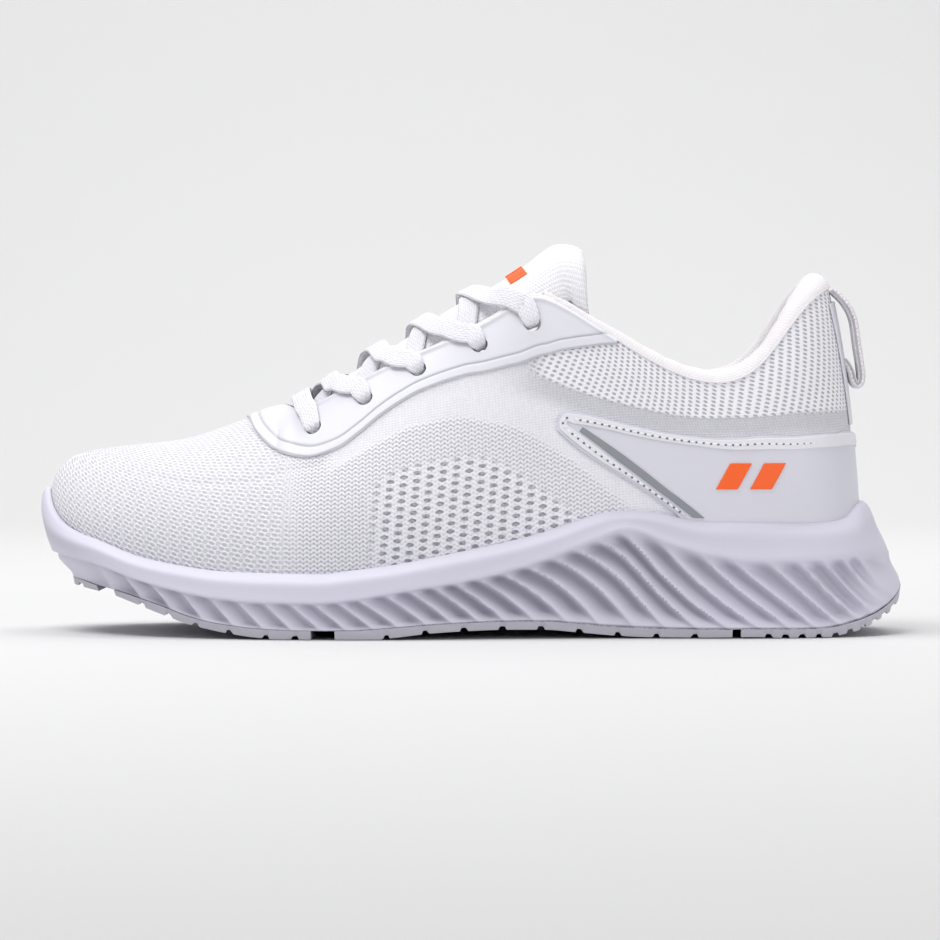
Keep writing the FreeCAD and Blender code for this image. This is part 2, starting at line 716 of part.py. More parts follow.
stripe_high = path([
    (36.6, 68.3), (45.0, 62.9), (51.9, 58.4), (58.3, 54.0), (64.5, 49.5), (70.5, 45.2),
    (78.6, 38.7)])

# inner faces of what lies on the overlay
TOP_TRIM_OFF = OVERLAY_TOP + GAP + 0.06
DIAGONAL_OFF = OVERLAY_TOP + GAP
STRIPE_OFF = OVERLAY_TOP + 0.1
EMBLEM_OFF = OVERLAY_TOP + 0.12
TRIM = size("TrimThick")

keep("heel_overlay", heel_wrap(lambda side: panel(
    side, overlay_low, overlay_top, OVERLAY_TOP, GAP, 64, 10)))
keep("overlay_top_trim", heel_wrap(lambda side: panel(
    side, top_trim_low, top_trim_high, TOP_TRIM_OFF + TRIM, TOP_TRIM_OFF, 40, 5)))
keep("overlay_diagonal_trim", Part.makeCompound(side_pair(lambda side: panel(
    side, diagonal_low, diagonal_high, DIAGONAL_OFF + TRIM, DIAGONAL_OFF, 24, 5))))
keep("overlay_stripe", Part.makeCompound(side_pair(lambda side: panel(
    side, stripe_low, stripe_high, STRIPE_OFF + size("StripeThick"), STRIPE_OFF, 24, 4))))


def emblem_bars(corner_x, lean=4.6, half_wide=3.5, low_z=48.2, high_z=56.6):
    """A slanted bar on each side, from its lower front corner."""
    low, high = [path([(x + half_wide * i, z) for i in range(3)])
                 for x, z in ((corner_x, low_z), (corner_x + lean, high_z))]
    return side_pair(lambda side: panel(
        side, low, high, EMBLEM_OFF + size("EmblemThick"), EMBLEM_OFF, 7, 7))


keep("heel_emblem", Part.makeCompound(emblem_bars(80.0) + emblem_bars(91.0)))

backstay_low, backstay_high = heel_level(69.0), heel_level(109.5)
keep("backstay_strip", heel_wrap(lambda side: wall(
    side, 17.42, HEEL, backstay_low, backstay_high, GAP + 0.8, GAP, 6, 12)))

# ------------------------------------------------------------------ midsole
# insets from the widest outline: (outline x, inset)
BULGE_INSET = table([(-143.3, 0.0), (-125, 0.4), (-90, 1.0), (20, 1.2), (60, 2.2), (110, 3.2),
                     (130, 5.5), (139, 8.0), (143.3, 8.9)])
RIDGE_INSET = table([(-143.3, 3.3), (-136, 2.2), (-120, 0.4), (-95, 0.0), (30, 0.0), (70, 0.7),
                     (110, 1.5), (132, 3.3), (143.3, 4.5)])
WAIST_INSET = table([(-143.3, 5.4), (-130, 3.8), (-110, 1.8), (0, 1.8), (60, 2.3), (115, 2.6),
                     (130, 3.3), (143.3, 3.6)])
JOINT_INSET = table([(-143.3, 10.4), (-136, 8.6), (-125, 6.0), (-110, 3.6), (-90, 2.6),
                     (0, 1.6), (40, 0.8), (80, 0.0), (143.3, 0.0)])
# x where each rib crest crosses the ridge line and the joint line
CREST_RIDGE_X = [
    -146, -134, -121.7, -113.3, -104.3, -94.3, -85, -76, -67.3, -59, -51.3, -43.7, -37, -28.3,
    -20.7, -13, -6, 1.3, 9, 17, 25, 32.3, 39.7, 47.3, 60.3, 73.3, 84, 95.7, 105.7, 114, 121.3,
    126.7, 134, 142]
CREST_JOINT_X = [
    -140, -128, -117.3, -107.3, -97.3, -86.7, -76.7, -67, -57.7, -48.3, -40, -31.3, -23.3, -14,
    -5.7, 3, 11.3, 21, 31.3, 42, 53.3, 63.7, 74, 84, 94, 104, 112.7, 120.7, 127, 132, 136.7,
    140, 145, 152]
RIB_DEEP = size("RibDeep")
# sections by share of the outline, closer together at the toe and the heel
MIDSOLE_SHARES = ([0.0, 0.0025] + [0.006 + 0.988 * i / 149.0 for i in range(150)]
                  + [0.9975, 1.0])
CUP_OFF = 0.25


def rib_depth(x, drop):
    """Inward depth of the side grooves; drop is 0 at the ridge and 1 at the joint."""
    crests = [a + (b - a) * drop for a, b in zip(CREST_RIDGE_X, CREST_JOINT_X)]
    k = segment(crests, x)
    part = clamp((x - crests[k]) / (crests[k + 1] - crests[k]), 0.0, 1.0)
    fade = step(drop, 0.0, 0.22) * (1 - 0.75 * step(drop, 0.72, 1.0))
    fade *= step(x, -132, -100) * (1 - step(x, 118, 138))
    fade *= 0.55 + 0.45 * step(x, -60, 20)
    return RIB_DEEP * fade * math.sin(math.pi * part) ** 0.8


def midsole_section(side, share):
    """Poles of the cup wall, rim, upper band and lower band of one section."""
    station = station_at[side](share)
    x, y, out = outline(side, share)

    def point(inset, z):
        return add((x, y, z), out, -inset)

    rim = rim_level(side, station)
    bed = skin(side, station, 0.0, CUP_OFF)
    cup = [(bed[0], bed[1], BED_Z(bed[0]))]
    cup += [skin(side, station, rim * k / 3.0, CUP_OFF) for k in (1, 2, 3)]

    thick = size("RimThick") + 1.2 * step(x, 120, 143)
    top = cup[-1]
    edge = add(add(top, out, thick), (0, 0, -0.9))
    crown = add(add(top, out, thick * 0.55), (0, 0, 0.35))

    ridge_z, joint_z = RIDGE_Z(x), JOINT_Z(x)
    bulge = point(BULGE_INSET(x), ridge_z + 0.58 * (edge[2] - ridge_z))
    ridge = point(RIDGE_INSET(x), ridge_z)
    upper = [edge, add(mix(edge, bulge, 0.45), out, 0.8), bulge,
             add(mix(bulge, ridge, 0.55), out, 0.5), ridge]

    lower = [ridge]
    for drop in (0.07, 0.18, 0.32, 0.47, 0.62, 0.77, 0.9, 1.0):
        inset = RIDGE_INSET(x)
        inset += (WAIST_INSET(x) - RIDGE_INSET(x)) * step(drop, 0.0, 0.16)
        inset += (JOINT_INSET(x) - WAIST_INSET(x)) * step(drop, 0.2, 1.0)
        if drop < 1:
            inset += rib_depth(x - out[0] * inset, drop)
        lower.append(point(inset, ridge_z + (joint_z - ridge_z) * drop))
    return cup, [top, crown, edge], upper, lower


def across(left, right):
    """Grid between two matching rows of points."""
    return [[mix(a, b, j / 4.0) for j in range(5)] for a, b in zip(left, right)]


def midsole():
    sections = [[midsole_section(side, share) for share in MIDSOLE_SHARES] for side in SIDES]
    faces = [face([section[band] for section in sections[side]])
             for side in SIDES for band in range(4)]
    beds = [[cup[0] for cup, _, _, _ in rows] for rows in sections]
    joints = [[lower[-1] for _, _, _, lower in rows] for rows in sections]
    return solid_of(faces + [face(across(*beds)), face(across(*joints))])


keep("midsole", midsole())


# ------------------------------------------------------------------ plates in the cup
def plate_solid(tops, bottoms):
    """Solid between top and bottom edge lines, each given as (lateral, medial)."""
    top, bottom = across(*tops), across(*bottoms)
    faces = [face(top), face(bottom)]
    faces += [face([tops[side], bottoms[side]]) for side in SIDES]
    for k in (0, -1):
        # an end that closes to a point has no end face
        if math.dist(tops[LATERAL][k][:2], tops[MEDIAL][k][:2]) > 0.01:
            faces.append(face([top[k], bottom[k]]))
    return solid_of(faces)


PLATE_SHARES = ([0.0, 0.004, 0.012] + [0.02 + 0.96 * i / 59.0 for i in range(60)]
                + [0.988, 0.996, 1.0])


def cup_plate(inset, lift, thick):
    """Plate following the bed, inset from the foot line and lifted off the bed."""
    edges = []
    for side in SIDES:
        edges.append([])
        for share in PLATE_SHARES:
            station = station_at[side](share)
            foot = surface(side, station, 0.0)
            edges[side].append(add(foot, outline(side, share)[2], -value(inset, station)))
    tops, bottoms = [[[(x, y, BED_Z(x) + height) for x, y, _ in edge] for edge in edges]
                     for height in (lift + thick, lift)]
    return plate_solid(tops, bottoms)


def insole_inset(station):
    return 3.3 + 1.5 * step(station, 11.5, 13.0)


BOARD_LIFT = 0.12
INSOLE_LIFT = BOARD_LIFT + size("BoardThick") + 0.3
CLOTH_LIFT = INSOLE_LIFT + size("InsoleThick") + 0.1
keep("strobel_board", cup_plate(0.3, BOARD_LIFT, size("BoardThick")))
keep("insole_foam", cup_plate(insole_inset, INSOLE_LIFT, size("InsoleThick")))
keep("insole_cloth", cup_plate(insole_inset, CLOTH_LIFT, size("ClothThick")))


# ------------------------------------------------------------------ outsole pods
def pod(start, end, flare=0.6):
    """Outsole block between two shares of the outline; flare widens its top edge."""
    count = max(12, int(70 * (end - start)))
    tops, bottoms = [[], []], [[], []]
    for side in SIDES:
        for i in range(count):
            x, y, out = outline(side, start + (end - start) * i / (count - 1.0))
            inset = JOINT_INSET(x)
            fade = step(x, -143.3, -120) if x < -100 else 1 - step(x, 132, 143)
            top_z = JOINT_Z(x) - 0.12
            bottom_z = min(TREAD_Z(x), top_z - 1.6)
            bottom_inset = inset + 0.5 + 0.6 * step(x, 125, 143)
            tops[side].append(add((x, y, top_z), out, flare * fade - inset))
            bottoms[side].append(add((x, y, bottom_z), out, -bottom_inset))
    return plate_solid(tops, bottoms)


def box(x_range, y_range, z_range):
    (x0, x1), (y0, y1), (z0, z1) = x_range, y_range, z_range
    return Part.makeBox(x1 - x0, y1 - y0, z1 - z0, V(x0, y0, z0))


def treaded(shape, slot_xs):
    """Levels the bottom at the ground, then cuts cross slots and one lengthwise groove."""
    shape = shape.cut(box((-160, 160), (-70, 70), (-6, 0)))
    half = size("TreadSlot") / 2
    cuts = []
    for x in slot_xs:
        z = max(TREAD_Z(x), 0.0)
        cuts.append(box((x - half, x + half), (-70, 70), (z - 4, z + size("TreadDeep"))))
    cuts.append(box((-200, 200), (-0.9, 0.9), (-4, 0.8)))
    return shape.cut(Part.makeCompound(cuts))


def mean_share(x):
    return 0.5 * (share_of_x(LATERAL, x) + share_of_x(MEDIAL, x))


def slots(first_x, count):
    return [first_x + size("TreadPitch") * i for i in range(count)]


keep("outsole_toe", pod(0.0, mean_share(-125.5)))
keep("outsole_forefoot", treaded(pod(mean_share(-117.5), mean_share(-49.5)), slots(-104, 4)))
keep("outsole_midfoot", treaded(pod(mean_share(-41.7), mean_share(85.8)), slots(-27, 9)))
keep("outsole_heel", treaded(pod(mean_share(88.6), 1.0),
                             [97.0, 106.0, 113.5, 120.5, 128.5, 135.5]))

# ------------------------------------------------------------------ tongue
# middle line of the tongue's outer face, from its toe end up: (x, z)
TONGUE_LINE = [
    (-76, 64.4), (-68, 67.8), (-61.5, 70.9), (-52, 75.9), (-41, 84.6), (-27.4, 93.2),
    (-14.5, 101.8), (-3.7, 108.8), (5.2, 113.2), (12, 117.4), (18, 121.4), (24.6, 126.4),
    (29.2, 128.9), (33.2, 130.2)]
TONGUE_END = len(TONGUE_LINE) - 1.0
tongue_line = smooth(TONGUE_LINE)
# by index along the line: radius, half angle in radians, foam thickness in the middle
TONGUE_RADIUS = table([(0, 28), (2, 24.5), (3, 23.5), (5, 23.4), (7, 22.8), (9, 21.4),
                       (10.5, 19.6), (12, 18.9), (13, 18.4)])
TONGUE_ANGLE = table([(0, 0.62), (2, 0.80), (4, 0.98), (7, 1.14), (9, 1.26), (10.5, 1.34),
                      (12, 1.42), (13, 1.42)])
TONGUE_FOAM = table([(0, 2.0), (2, 4.0), (5, 5.5), (11, 6.0), (12.2, 5.6), (13, 3.6)])
FACE = size("TongueFace")


def tongue_shift(along):
    """Sideways shift of the tongue towards the medial side."""
    return 1.5 * (1 - along / TONGUE_END)


def tongue(along, aside, off):
    """Tongue point; along 0 to TONGUE_END, aside -1 to 1, off above the outer face."""
    x, z = tongue_line(along)
    run_x, run_z = unit(sub(tongue_line(along + 0.05), tongue_line(along - 0.05)))
    radius = TONGUE_RADIUS(along)
    angle = TONGUE_ANGLE(along) * aside
    sine, cosine = math.sin(angle), math.cos(angle)
    drop = radius - radius * cosine
    point = (x + run_z * drop, radius * sine + tongue_shift(along), z - run_x * drop)
    return add(point, (-run_z * cosine, sine, run_x * cosine), off)


def tongue_patch(start, end, left, right, outer, inner, rows=34, cols=13):
    """Slab on the tongue between two indices along it and two places across it."""
    def grid(off):
        def point_at(a, b):
            along, aside = start + (end - start) * a, left + (right - left) * b
            return tongue(along, aside, value(off, along, aside))
        return grid_of(point_at, rows, cols)
    return slab_solid((grid(outer), grid(inner)))


def foam_bottom(along, aside):
    """Offset of the foam's inner face, thinning towards the tongue's side edges."""
    foam = 1.2 + (TONGUE_FOAM(along) - 1.2) * (1 - abs(aside) ** 2.4)
    return -FACE - 0.2 - foam


def lining_top(along, aside):
    return foam_bottom(along, aside) - 0.2


def lining_bottom(along, aside):
    return lining_top(along, aside) - size("TongueLine")


keep("tongue_face", tongue_patch(0.0, TONGUE_END, -1, 1, 0.0, -FACE))
keep("tongue_foam", tongue_patch(0.05, TONGUE_END - 0.05, -0.985, 0.985,
                                 -FACE - 0.2, foam_bottom))
keep("tongue_lining", tongue_patch(0.0, TONGUE_END, -1, 1, lining_top, lining_bottom))
keep("tongue_print", Part.makeCompound([
    tongue_patch(9.0, 9.9, left, right, 0.45, 0.1, rows=6, cols=6)
    for left, right in ((-0.42, -0.16), (-0.08, 0.08), (0.16, 0.42))]))

# ------------------------------------------------------------------ laces
BACK_DEPTH = KNIT + GAP + BACKING
LACE_INSIDE = -(BACK_DEPTH + 0.95)
# strand from each eyelet row to the next: how far its middle lies toe-ward of the far eyelet,
# station step back from the near eyelet, extra depth under the edge, height of its arch
STRANDS = [(10.0, 0.17, -0.1, 1.6), (12.0, 0.17, 0.7, 1.6), (17.8, 0.17, 0.7, 0.95),
           (20.0, 0.26, 0.7, 0.95)]


def ribbon(stops):
    """Flat strap through (point, face normal, width) stops, thinner at its edges."""
    line = smooth([tuple(point) + tuple(facing) + (width,) for point, facing, width in stops])
    last = len(stops) - 1.0
    rows = 5 * len(stops)
    top, bottom = [], []
    for i in range(rows):
        index = last * i / (rows - 1.0)
        here = line(index)
        before, after = line(max(index - 0.05, 0)), line(min(index + 0.05, last))
        run = unit(sub(after[:3], before[:3]))
        wide = unit(cross(here[3:6], run))
        facing = cross(run, wide)
        for grid, half in ((top, LACE_THICK / 2), (bottom, -LACE_THICK / 2)):
            grid.append([add(add(here[:3], wide, here[6] / 2 * k), facing,
                             half * (1.0 if abs(k) < 0.9 else 0.55))
                         for k in (-1, -0.75, -0.25, 0.25, 0.75, 1)])
    return slab_solid((top, bottom))


def tongue_near(x, y):
    """Point on the tongue's outer face at plan position x, y, with its normal."""
    def aside_at(along):
        sine = clamp((y - tongue_shift(along)) / TONGUE_RADIUS(along), -0.985, 0.985)
        return clamp(math.asin(sine) / TONGUE_ANGLE(along), -1, 1)

    along = 6.0
    for _ in range(40):
        point = tongue(along, aside_at(along), 0)
        along = clamp(along + (x - point[0]) / 9.0, 0, TONGUE_END)
    aside = aside_at(along)
    point = tongue(along, aside, 0)
    return point, sub(tongue(along, aside, 1), point)


def eyelet_dive(side, station, level, top_level):
    """The strap's way down through an eyelet, coming from top_level."""
    facing, centre = normal(side, station, level), surface(side, station, level)
    run = unit(sub(centre, surface(side, station - 0.1, top_level)))
    return [
        (add(add(centre, facing, OVERLAY_TOP + 1.1), run, -1.5), unit(add(facing, run, 0.35)), 4.0),
        (add(add(centre, facing, OVERLAY_TOP - 0.1), run, -0.15), unit(add(run, facing, 0.5)), 3.3),
        (add(centre, facing, -0.9), run, 3.1),
        (add(centre, facing, -BACK_DEPTH - 0.1), run, 3.1)]


def taut(floor):
    """Pulls a run of (point, normal) straight without sinking below where it lies."""
    points = [point for point, _ in floor]
    for _ in range(400):
        for i in range(1, len(points) - 1):
            point, facing = floor[i]
            rise = dot(sub(mix(points[i - 1], points[i + 1], 0.5), point), facing)
            points[i] = add(point, facing, max(0.0, rise))
    return points


def strand(side, k, high):
    """From under eyelet k over the tongue to the top of eyelet k + 1 on the other side."""
    far = 1 - side
    forward, step_back, dip, arch = STRANDS[k]
    station, level = eyelets[k]
    far_station, far_level = eyelets[k + 1]
    edge_station, far_edge = station - step_back, far_station - 0.36
    top_level = level + (1 - level) * 0.5
    far_top = far_level + (1 - far_level) * 0.6
    start = skin(side, edge_station, 1.0, LACE_INSIDE - dip)
    end = skin(far, far_edge, 1.0, OVERLAY_TOP + 1.1)
    end_normal = normal(far, far_edge, 1.0)
    middle_x = surface(far, far_station, far_level)[0] - forward

    # run over the tongue; the high strand is lifted where it crosses the low one
    floor = [(start, normal(side, edge_station, 1.0))]
    for i in range(1, 14):
        part = i / 14.0
        if part < 0.5:
            x, reach = start[0] + (middle_x - start[0]) * part / 0.5, 0.45
        else:
            x, reach = middle_x + (end[0] - middle_x) * (part - 0.5) / 0.5, 0.3
        point, facing = tongue_near(x, start[1] + (end[1] - start[1]) * part)
        lift = 1.15
        if high:
            near = max(0.0, 1.0 - abs(part - 0.5) / reach)
            lift += 1.75 * min(1.0, 2.4 * near) + max(0.0, arch - 5.0 * abs(part - 0.25))
        floor.append((add(point, facing, lift), facing))

    # the last two stops reach out level from the far edge
    back = sub(floor[9][0], end)
    back = unit(add(back, end_normal, -dot(back, end_normal)))
    floor[12] = (add(end, back, 6.4), end_normal)
    floor[13] = (add(end, back, 3.2), end_normal)
    floor.append((end, end_normal))
    for part in (0.3, 0.65):
        place = (far, far_edge + (far_station - 0.08 - far_edge) * part,
                 1.0 + (far_top - 1.0) * part)
        floor.append((skin(*place, OVERLAY_TOP + 1.05), normal(*place)))
    place = (far, far_station - 0.1, far_top)
    floor.append((skin(*place, OVERLAY_TOP + 1.15), normal(*place)))

    line = taut(floor)
    last = len(floor) - 1
    stops = [(skin(side, station + 0.02, level, LACE_INSIDE), normal(side, station, level), 4.6),
             (skin(side, station, top_level, LACE_INSIDE - 0.1),
              normal(side, station, top_level), 6.0)]
    for i in (0, 2, 4, 6, 8, 10, 11, 12, 13, 14, 15, 16, last):
        facing = floor[i][1]
        if 0 < i < last:
            facing = unit(add(add(floor[i - 1][1], facing), floor[i + 1][1]))
        stops.append((line[i], facing, 6.2 if i == last else LACE_WIDE))
    return ribbon(stops + eyelet_dive(far, far_station, far_level, far_top))


def front_bar():
    """Straight bar between the first pair of eyelets."""
    station, level = eyelets[0]
    top_level = level + (1 - level) * 0.6
    ends = []
    for side in SIDES:
        edge = surface(side, station - 0.2, 1.0)
        facing = normal(side, station - 0.2, 1.0)
        reach = unit(sub(edge, surface(side, station - 0.2, 0.93)))
        ends.append(eyelet_dive(side, station, level, top_level)[::-1] + [
            (skin(side, station - 0.07, top_level, OVERLAY_TOP + 1.25),
             normal(side, station, top_level), 6.2),
            (skin(side, station - 0.14, 0.975, OVERLAY_TOP + 1.5),
             normal(side, station, 0.975), LACE_WIDE),
            (add(add(edge, facing, OVERLAY_TOP + 1.8), reach, 4.0), facing, LACE_WIDE)])
    middle = []
    for part, rise in ((0.25, 1.0), (0.5, 1.3), (0.75, 1.0)):
        point = mix(ends[LATERAL][-1][0], ends[MEDIAL][-1][0], part)
        middle.append((add(point, (-rise, 0, rise)), (-0.5, 0.0, 0.87), LACE_WIDE))
    return ribbon(ends[LATERAL] + middle + ends[MEDIAL][::-1])


laces = []
for k in range(len(STRANDS)):
    laces.append(strand(MEDIAL, k, high=True))
    laces.append(strand(LATERAL, k, high=False))
keep("shoelace", Part.makeCompound(laces + [front_bar()]))

# ------------------------------------------------------------------ heel pull tab
# centre line of the webbing loop on the shoe's middle plane: (x, z)
TAB_LINE = [
    (121.9, 112.4), (125.2, 108.4), (127.5, 103.4), (128.5, 97.0), (129.4, 91.0),
    (130.1, 85.6), (129.7, 82.6), (128.3, 82.0), (127.1, 84.0), (126.45, 87.2), (126.1, 90.6)]


def tab_edges():
    """The two long edges of the webbing, half its thickness either side of the line."""
    line = smooth(TAB_LINE)
    half = size("TabThick") / 2
    edges = [], []
    for i in range(31):
        index = (len(TAB_LINE) - 1.0) * i / 30
        x, z = line(index)
        run_x, run_z = unit(sub(line(index + 0.05), line(index - 0.05)))
        edges[0].append(V(x - run_z * half, z + run_x * half, 0))
        edges[1].append(V(x + run_z * half, z - run_x * half, 0))
    return edges


def pull_tab():
    body = doc.addObject("PartDesign::Body", "PullTab")
    sketch = body.newObject("Sketcher::SketchObject", "TabProfile")
    plane = [item for item in body.Origin.OriginFeatures if item.Role == "XZ_Plane"][0]
    sketch.AttachmentSupport = [(plane, "")]
    sketch.MapMode = "FlatFace"
    edges = tab_edges()
    for points in edges:
        curve = Part.BSplineCurve()
        curve.interpolate(points)
        sketch.addGeometry(curve, False)
    for k in (0, -1):
        sketch.addGeometry(Part.LineSegment(edges[0][k], edges[1][k]), False)
    pad = body.newObject("PartDesign::Pad", "TabPad")
    pad.Profile = sketch
    pad.setExpression("Length", "Sizes.TabWide")
    # the property for a symmetric pad differs between FreeCAD versions
    if hasattr(pad, "SideType"):
        pad.SideType = "Symmetric"
    else:
        pad.Midplane = True
    body.Tip = pad
    body.Label = "heel_pull_tab"
    products.append(body)


pull_tab()


# ------------------------------------------------------------------ lace tips
def lace_aglets(x=30, y=12.4, z=70):
    """Two tips inside the ankle, heel-ward of the last eyelets, hanging down from z."""
    tips = []
    for name, tip_y in (("AgletL", -y), ("AgletR", y)):
        tip = doc.addObject("Part::Cylinder", name)
        tip.setExpression("Radius", "Sizes.AgletDia / 2")
        tip.setExpression("Height", "Sizes.AgletLong")
        tip.Placement = FreeCAD.Placement(
            V(x, tip_y, z), FreeCAD.Rotation(V(0, 0, 1), V(0.25, 0, -1)))
        tips.append(tip)
    pair = doc.addObject("Part::Compound", "Aglets")
    pair.Links = tips
    pair.Label = "lace_aglets"
    products.append(pair)


lace_aglets()
doc.recompute()

# ------------------------------------------------------------------ state check and export
for item in doc.Objects:
    if "Invalid" in item.State or "Error" in item.State:
        raise RuntimeError("%s is in state %s" % (item.Name, item.State))
for item in products:
    item.Shape.exportStep("parts/%s.step" % item.Label)
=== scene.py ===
import bpy
import bmesh
import math
import numpy as np
from mathutils import Vector, Matrix


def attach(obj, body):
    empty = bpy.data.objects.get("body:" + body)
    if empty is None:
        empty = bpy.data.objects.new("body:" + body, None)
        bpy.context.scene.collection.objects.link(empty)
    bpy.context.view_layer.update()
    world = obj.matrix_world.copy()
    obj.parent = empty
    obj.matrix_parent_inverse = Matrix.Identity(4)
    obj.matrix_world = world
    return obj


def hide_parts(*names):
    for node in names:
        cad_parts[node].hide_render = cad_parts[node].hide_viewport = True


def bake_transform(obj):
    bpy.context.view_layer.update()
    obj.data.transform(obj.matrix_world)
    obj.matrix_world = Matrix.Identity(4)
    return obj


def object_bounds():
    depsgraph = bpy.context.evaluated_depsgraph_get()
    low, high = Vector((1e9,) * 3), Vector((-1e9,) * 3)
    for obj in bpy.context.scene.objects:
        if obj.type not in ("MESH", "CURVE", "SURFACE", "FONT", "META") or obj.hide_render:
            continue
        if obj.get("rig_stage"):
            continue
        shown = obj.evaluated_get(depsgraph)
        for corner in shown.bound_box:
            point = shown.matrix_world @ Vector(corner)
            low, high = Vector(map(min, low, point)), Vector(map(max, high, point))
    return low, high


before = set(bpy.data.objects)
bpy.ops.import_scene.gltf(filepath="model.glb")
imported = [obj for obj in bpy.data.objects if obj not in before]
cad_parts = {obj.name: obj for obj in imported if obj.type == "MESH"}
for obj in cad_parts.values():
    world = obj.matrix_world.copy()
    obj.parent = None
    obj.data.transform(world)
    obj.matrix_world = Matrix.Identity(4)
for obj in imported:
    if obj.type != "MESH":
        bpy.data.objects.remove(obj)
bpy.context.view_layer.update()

D = bpy.data
scene = bpy.context.scene
KNIT, GAP = 1.6, 0.15
SIZES = {"RibDeep": 1.9, "OverlayThick": 0.9, "TrimThick": 0.7, "StripeThick": 0.35, "EmblemThick": 0.5,
         "RimThick": 2.4, "CollarPad": 8.6, "CounterThick": 1.5, "LiningThick": 0.8, "BindingThick": 1.1,
         "BackingThick": 0.7, "LaceWide": 6.4, "LaceThick": 1.1, "TongueFace": 0.9, "TongueLine": 0.7,
         "EyeletHole": 5.4, "TabThick": 1.2, "TabWide": 12.0}


def size(alias):
    return SIZES[alias]


# ------------------------------------------------------------------ small maths
def table(pts):
    """Shape-keeping cubic through (x, y) rows."""
    xs, ys = [p[0] for p in pts], [p[1] for p in pts]
    n = len(xs)
    h = [xs[i + 1] - xs[i] for i in range(n - 1)]
    d = [(ys[i + 1] - ys[i]) / h[i] for i in range(n - 1)]
    m = [d[0]] + [0.0] * (n - 2) + [d[-1]]
    for i in range(1, n - 1):
        if d[i - 1] * d[i] > 0:
            a, b = 2 * h[i] + h[i - 1], h[i] + 2 * h[i - 1]
            m[i] = (a + b) / (a / d[i - 1] + b / d[i])

    def f(x):
        if x <= xs[0]:
            return ys[0]
        if x >= xs[-1]:
            return ys[-1]
        lo, hi = 0, n - 1
        while hi - lo > 1:
            k = (lo + hi) // 2
            if xs[k] <= x:
                lo = k
            else:
                hi = k
        t = (x - xs[lo]) / h[lo]
        return (
            ys[lo] * (1 + 2 * t) * (1 - t) ** 2 + m[lo] * h[lo] * t * (1 - t) ** 2
            + ys[hi] * t * t * (3 - 2 * t) + m[hi] * h[lo] * t * t * (t - 1)
        )

    return f


def smooth(rows, closed=False):
    """C2 cubic through equally numbered rows (tuples); f(index)."""
    n, k = len(rows), len(rows[0])
    m = [[0.0] * k for _ in range(n)]
    for _ in range(60):
        for i in range(n):
            for c in range(k):
                if closed:
                    r = 3 * (rows[(i + 1) % n][c] - rows[i - 1][c])
                    m[i][c] = (r - m[i - 1][c] - m[(i + 1) % n][c]) / 4
                elif i == 0:
                    m[i][c] = (3 * (rows[1][c] - rows[0][c]) - m[1][c]) / 2
                elif i == n - 1:
                    m[i][c] = (3 * (rows[-1][c] - rows[-2][c]) - m[-2][c]) / 2
                else:
                    r = 3 * (rows[i + 1][c] - rows[i - 1][c])
                    m[i][c] = (r - m[i - 1][c] - m[i + 1][c]) / 4

    def f(u):
        if closed:
            u %= n
        else:
            u = min(max(u, 0.0), n - 1.0)
        i = int(u)
        if not closed and i == n - 1:
            i -= 1
        t, j = u - i, (i + 1) % n
        a, b = (1 + 2 * t) * (1 - t) ** 2, t * (1 - t) ** 2
        e, g = t * t * (3 - 2 * t), t * t * (t - 1)
        return tuple(
            rows[i][c] * a + m[i][c] * b + rows[j][c] * e + m[j][c] * g for c in range(k)
        )

    return f


def mix(a, b, t):
    return tuple(a[i] + (b[i] - a[i]) * t for i in range(len(a)))


def unit(v):
    l = math.sqrt(sum(c * c for c in v)) or 1.0
    return tuple(c / l for c in v)


def cross(a, b):
    return (a[1] * b[2] - a[2] * b[1], a[2] * b[0] - a[0] * b[2], a[0] * b[1] - a[1] * b[0])


def add(p, v, k=1.0):
    return (p[0] + v[0] * k, p[1] + v[1] * k, p[2] + v[2] * k)


def step(x, a, b):
    t = min(max((x - a) / (b - a), 0.0), 1.0)
    return t * t * (3 - 2 * t)


# ------------------------------------------------------------------ plan outline
# widest outline of the midsole; side 0 is lateral (-Y), side 1 is medial (+Y)
LAT = [(-143.3, 8), (-141.3, -4), (-135.5, -15.5), (-125, -26.5), (-108, -37), (-85, -45.5),
       (-60, -50.8), (-35, -52), (-10, -49.5), (15, -45.2), (40, -42), (65, -41), (90, -41.2),
       (110, -39), (126, -33), (137, -22.3), (142.2, -10.5), (143.3, 0)]
MED = [(-143.3, 8), (-141.3, 19.5), (-135.5, 29.5), (-125, 38), (-108, 45.5), (-85, 51),
       (-62, 52), (-38, 49.5), (-12, 43.5), (15, 39), (40, 37.5), (65, 38.5), (90, 40),
       (110, 38.6), (126, 33), (137, 22.3), (142.2, 10.5), (143.3, 0)]
RING = smooth(LAT + MED[-2:0:-1], closed=True)
RN = len(LAT) + len(MED) - 2
HALF = (len(LAT) - 1, len(MED) - 1)


def ring_at(side, i):
    return RING(i if side == 0 else RN - i)


ARC = []
for side in (0, 1):
    rows, run, last = [], 0.0, None
    for j in range(601):
        i = HALF[side] * j / 600.0
        p = ring_at(side, i)
        if last:
            run += math.hypot(p[0] - last[0], p[1] - last[1])
        rows.append((run, i))
        last = p
    ARC.append([(r / run, i) for r, i in rows])


def arc_index(side, q):
    rows = ARC[side]
    lo, hi = 0, len(rows) - 1
    while hi - lo > 1:
        k = (lo + hi) // 2
        if rows[k][0] <= q:
            lo = k
        else:
            hi = k
    a, b = rows[lo], rows[hi]
    return a[1] + (b[1] - a[1]) * (q - a[0]) / (b[0] - a[0])


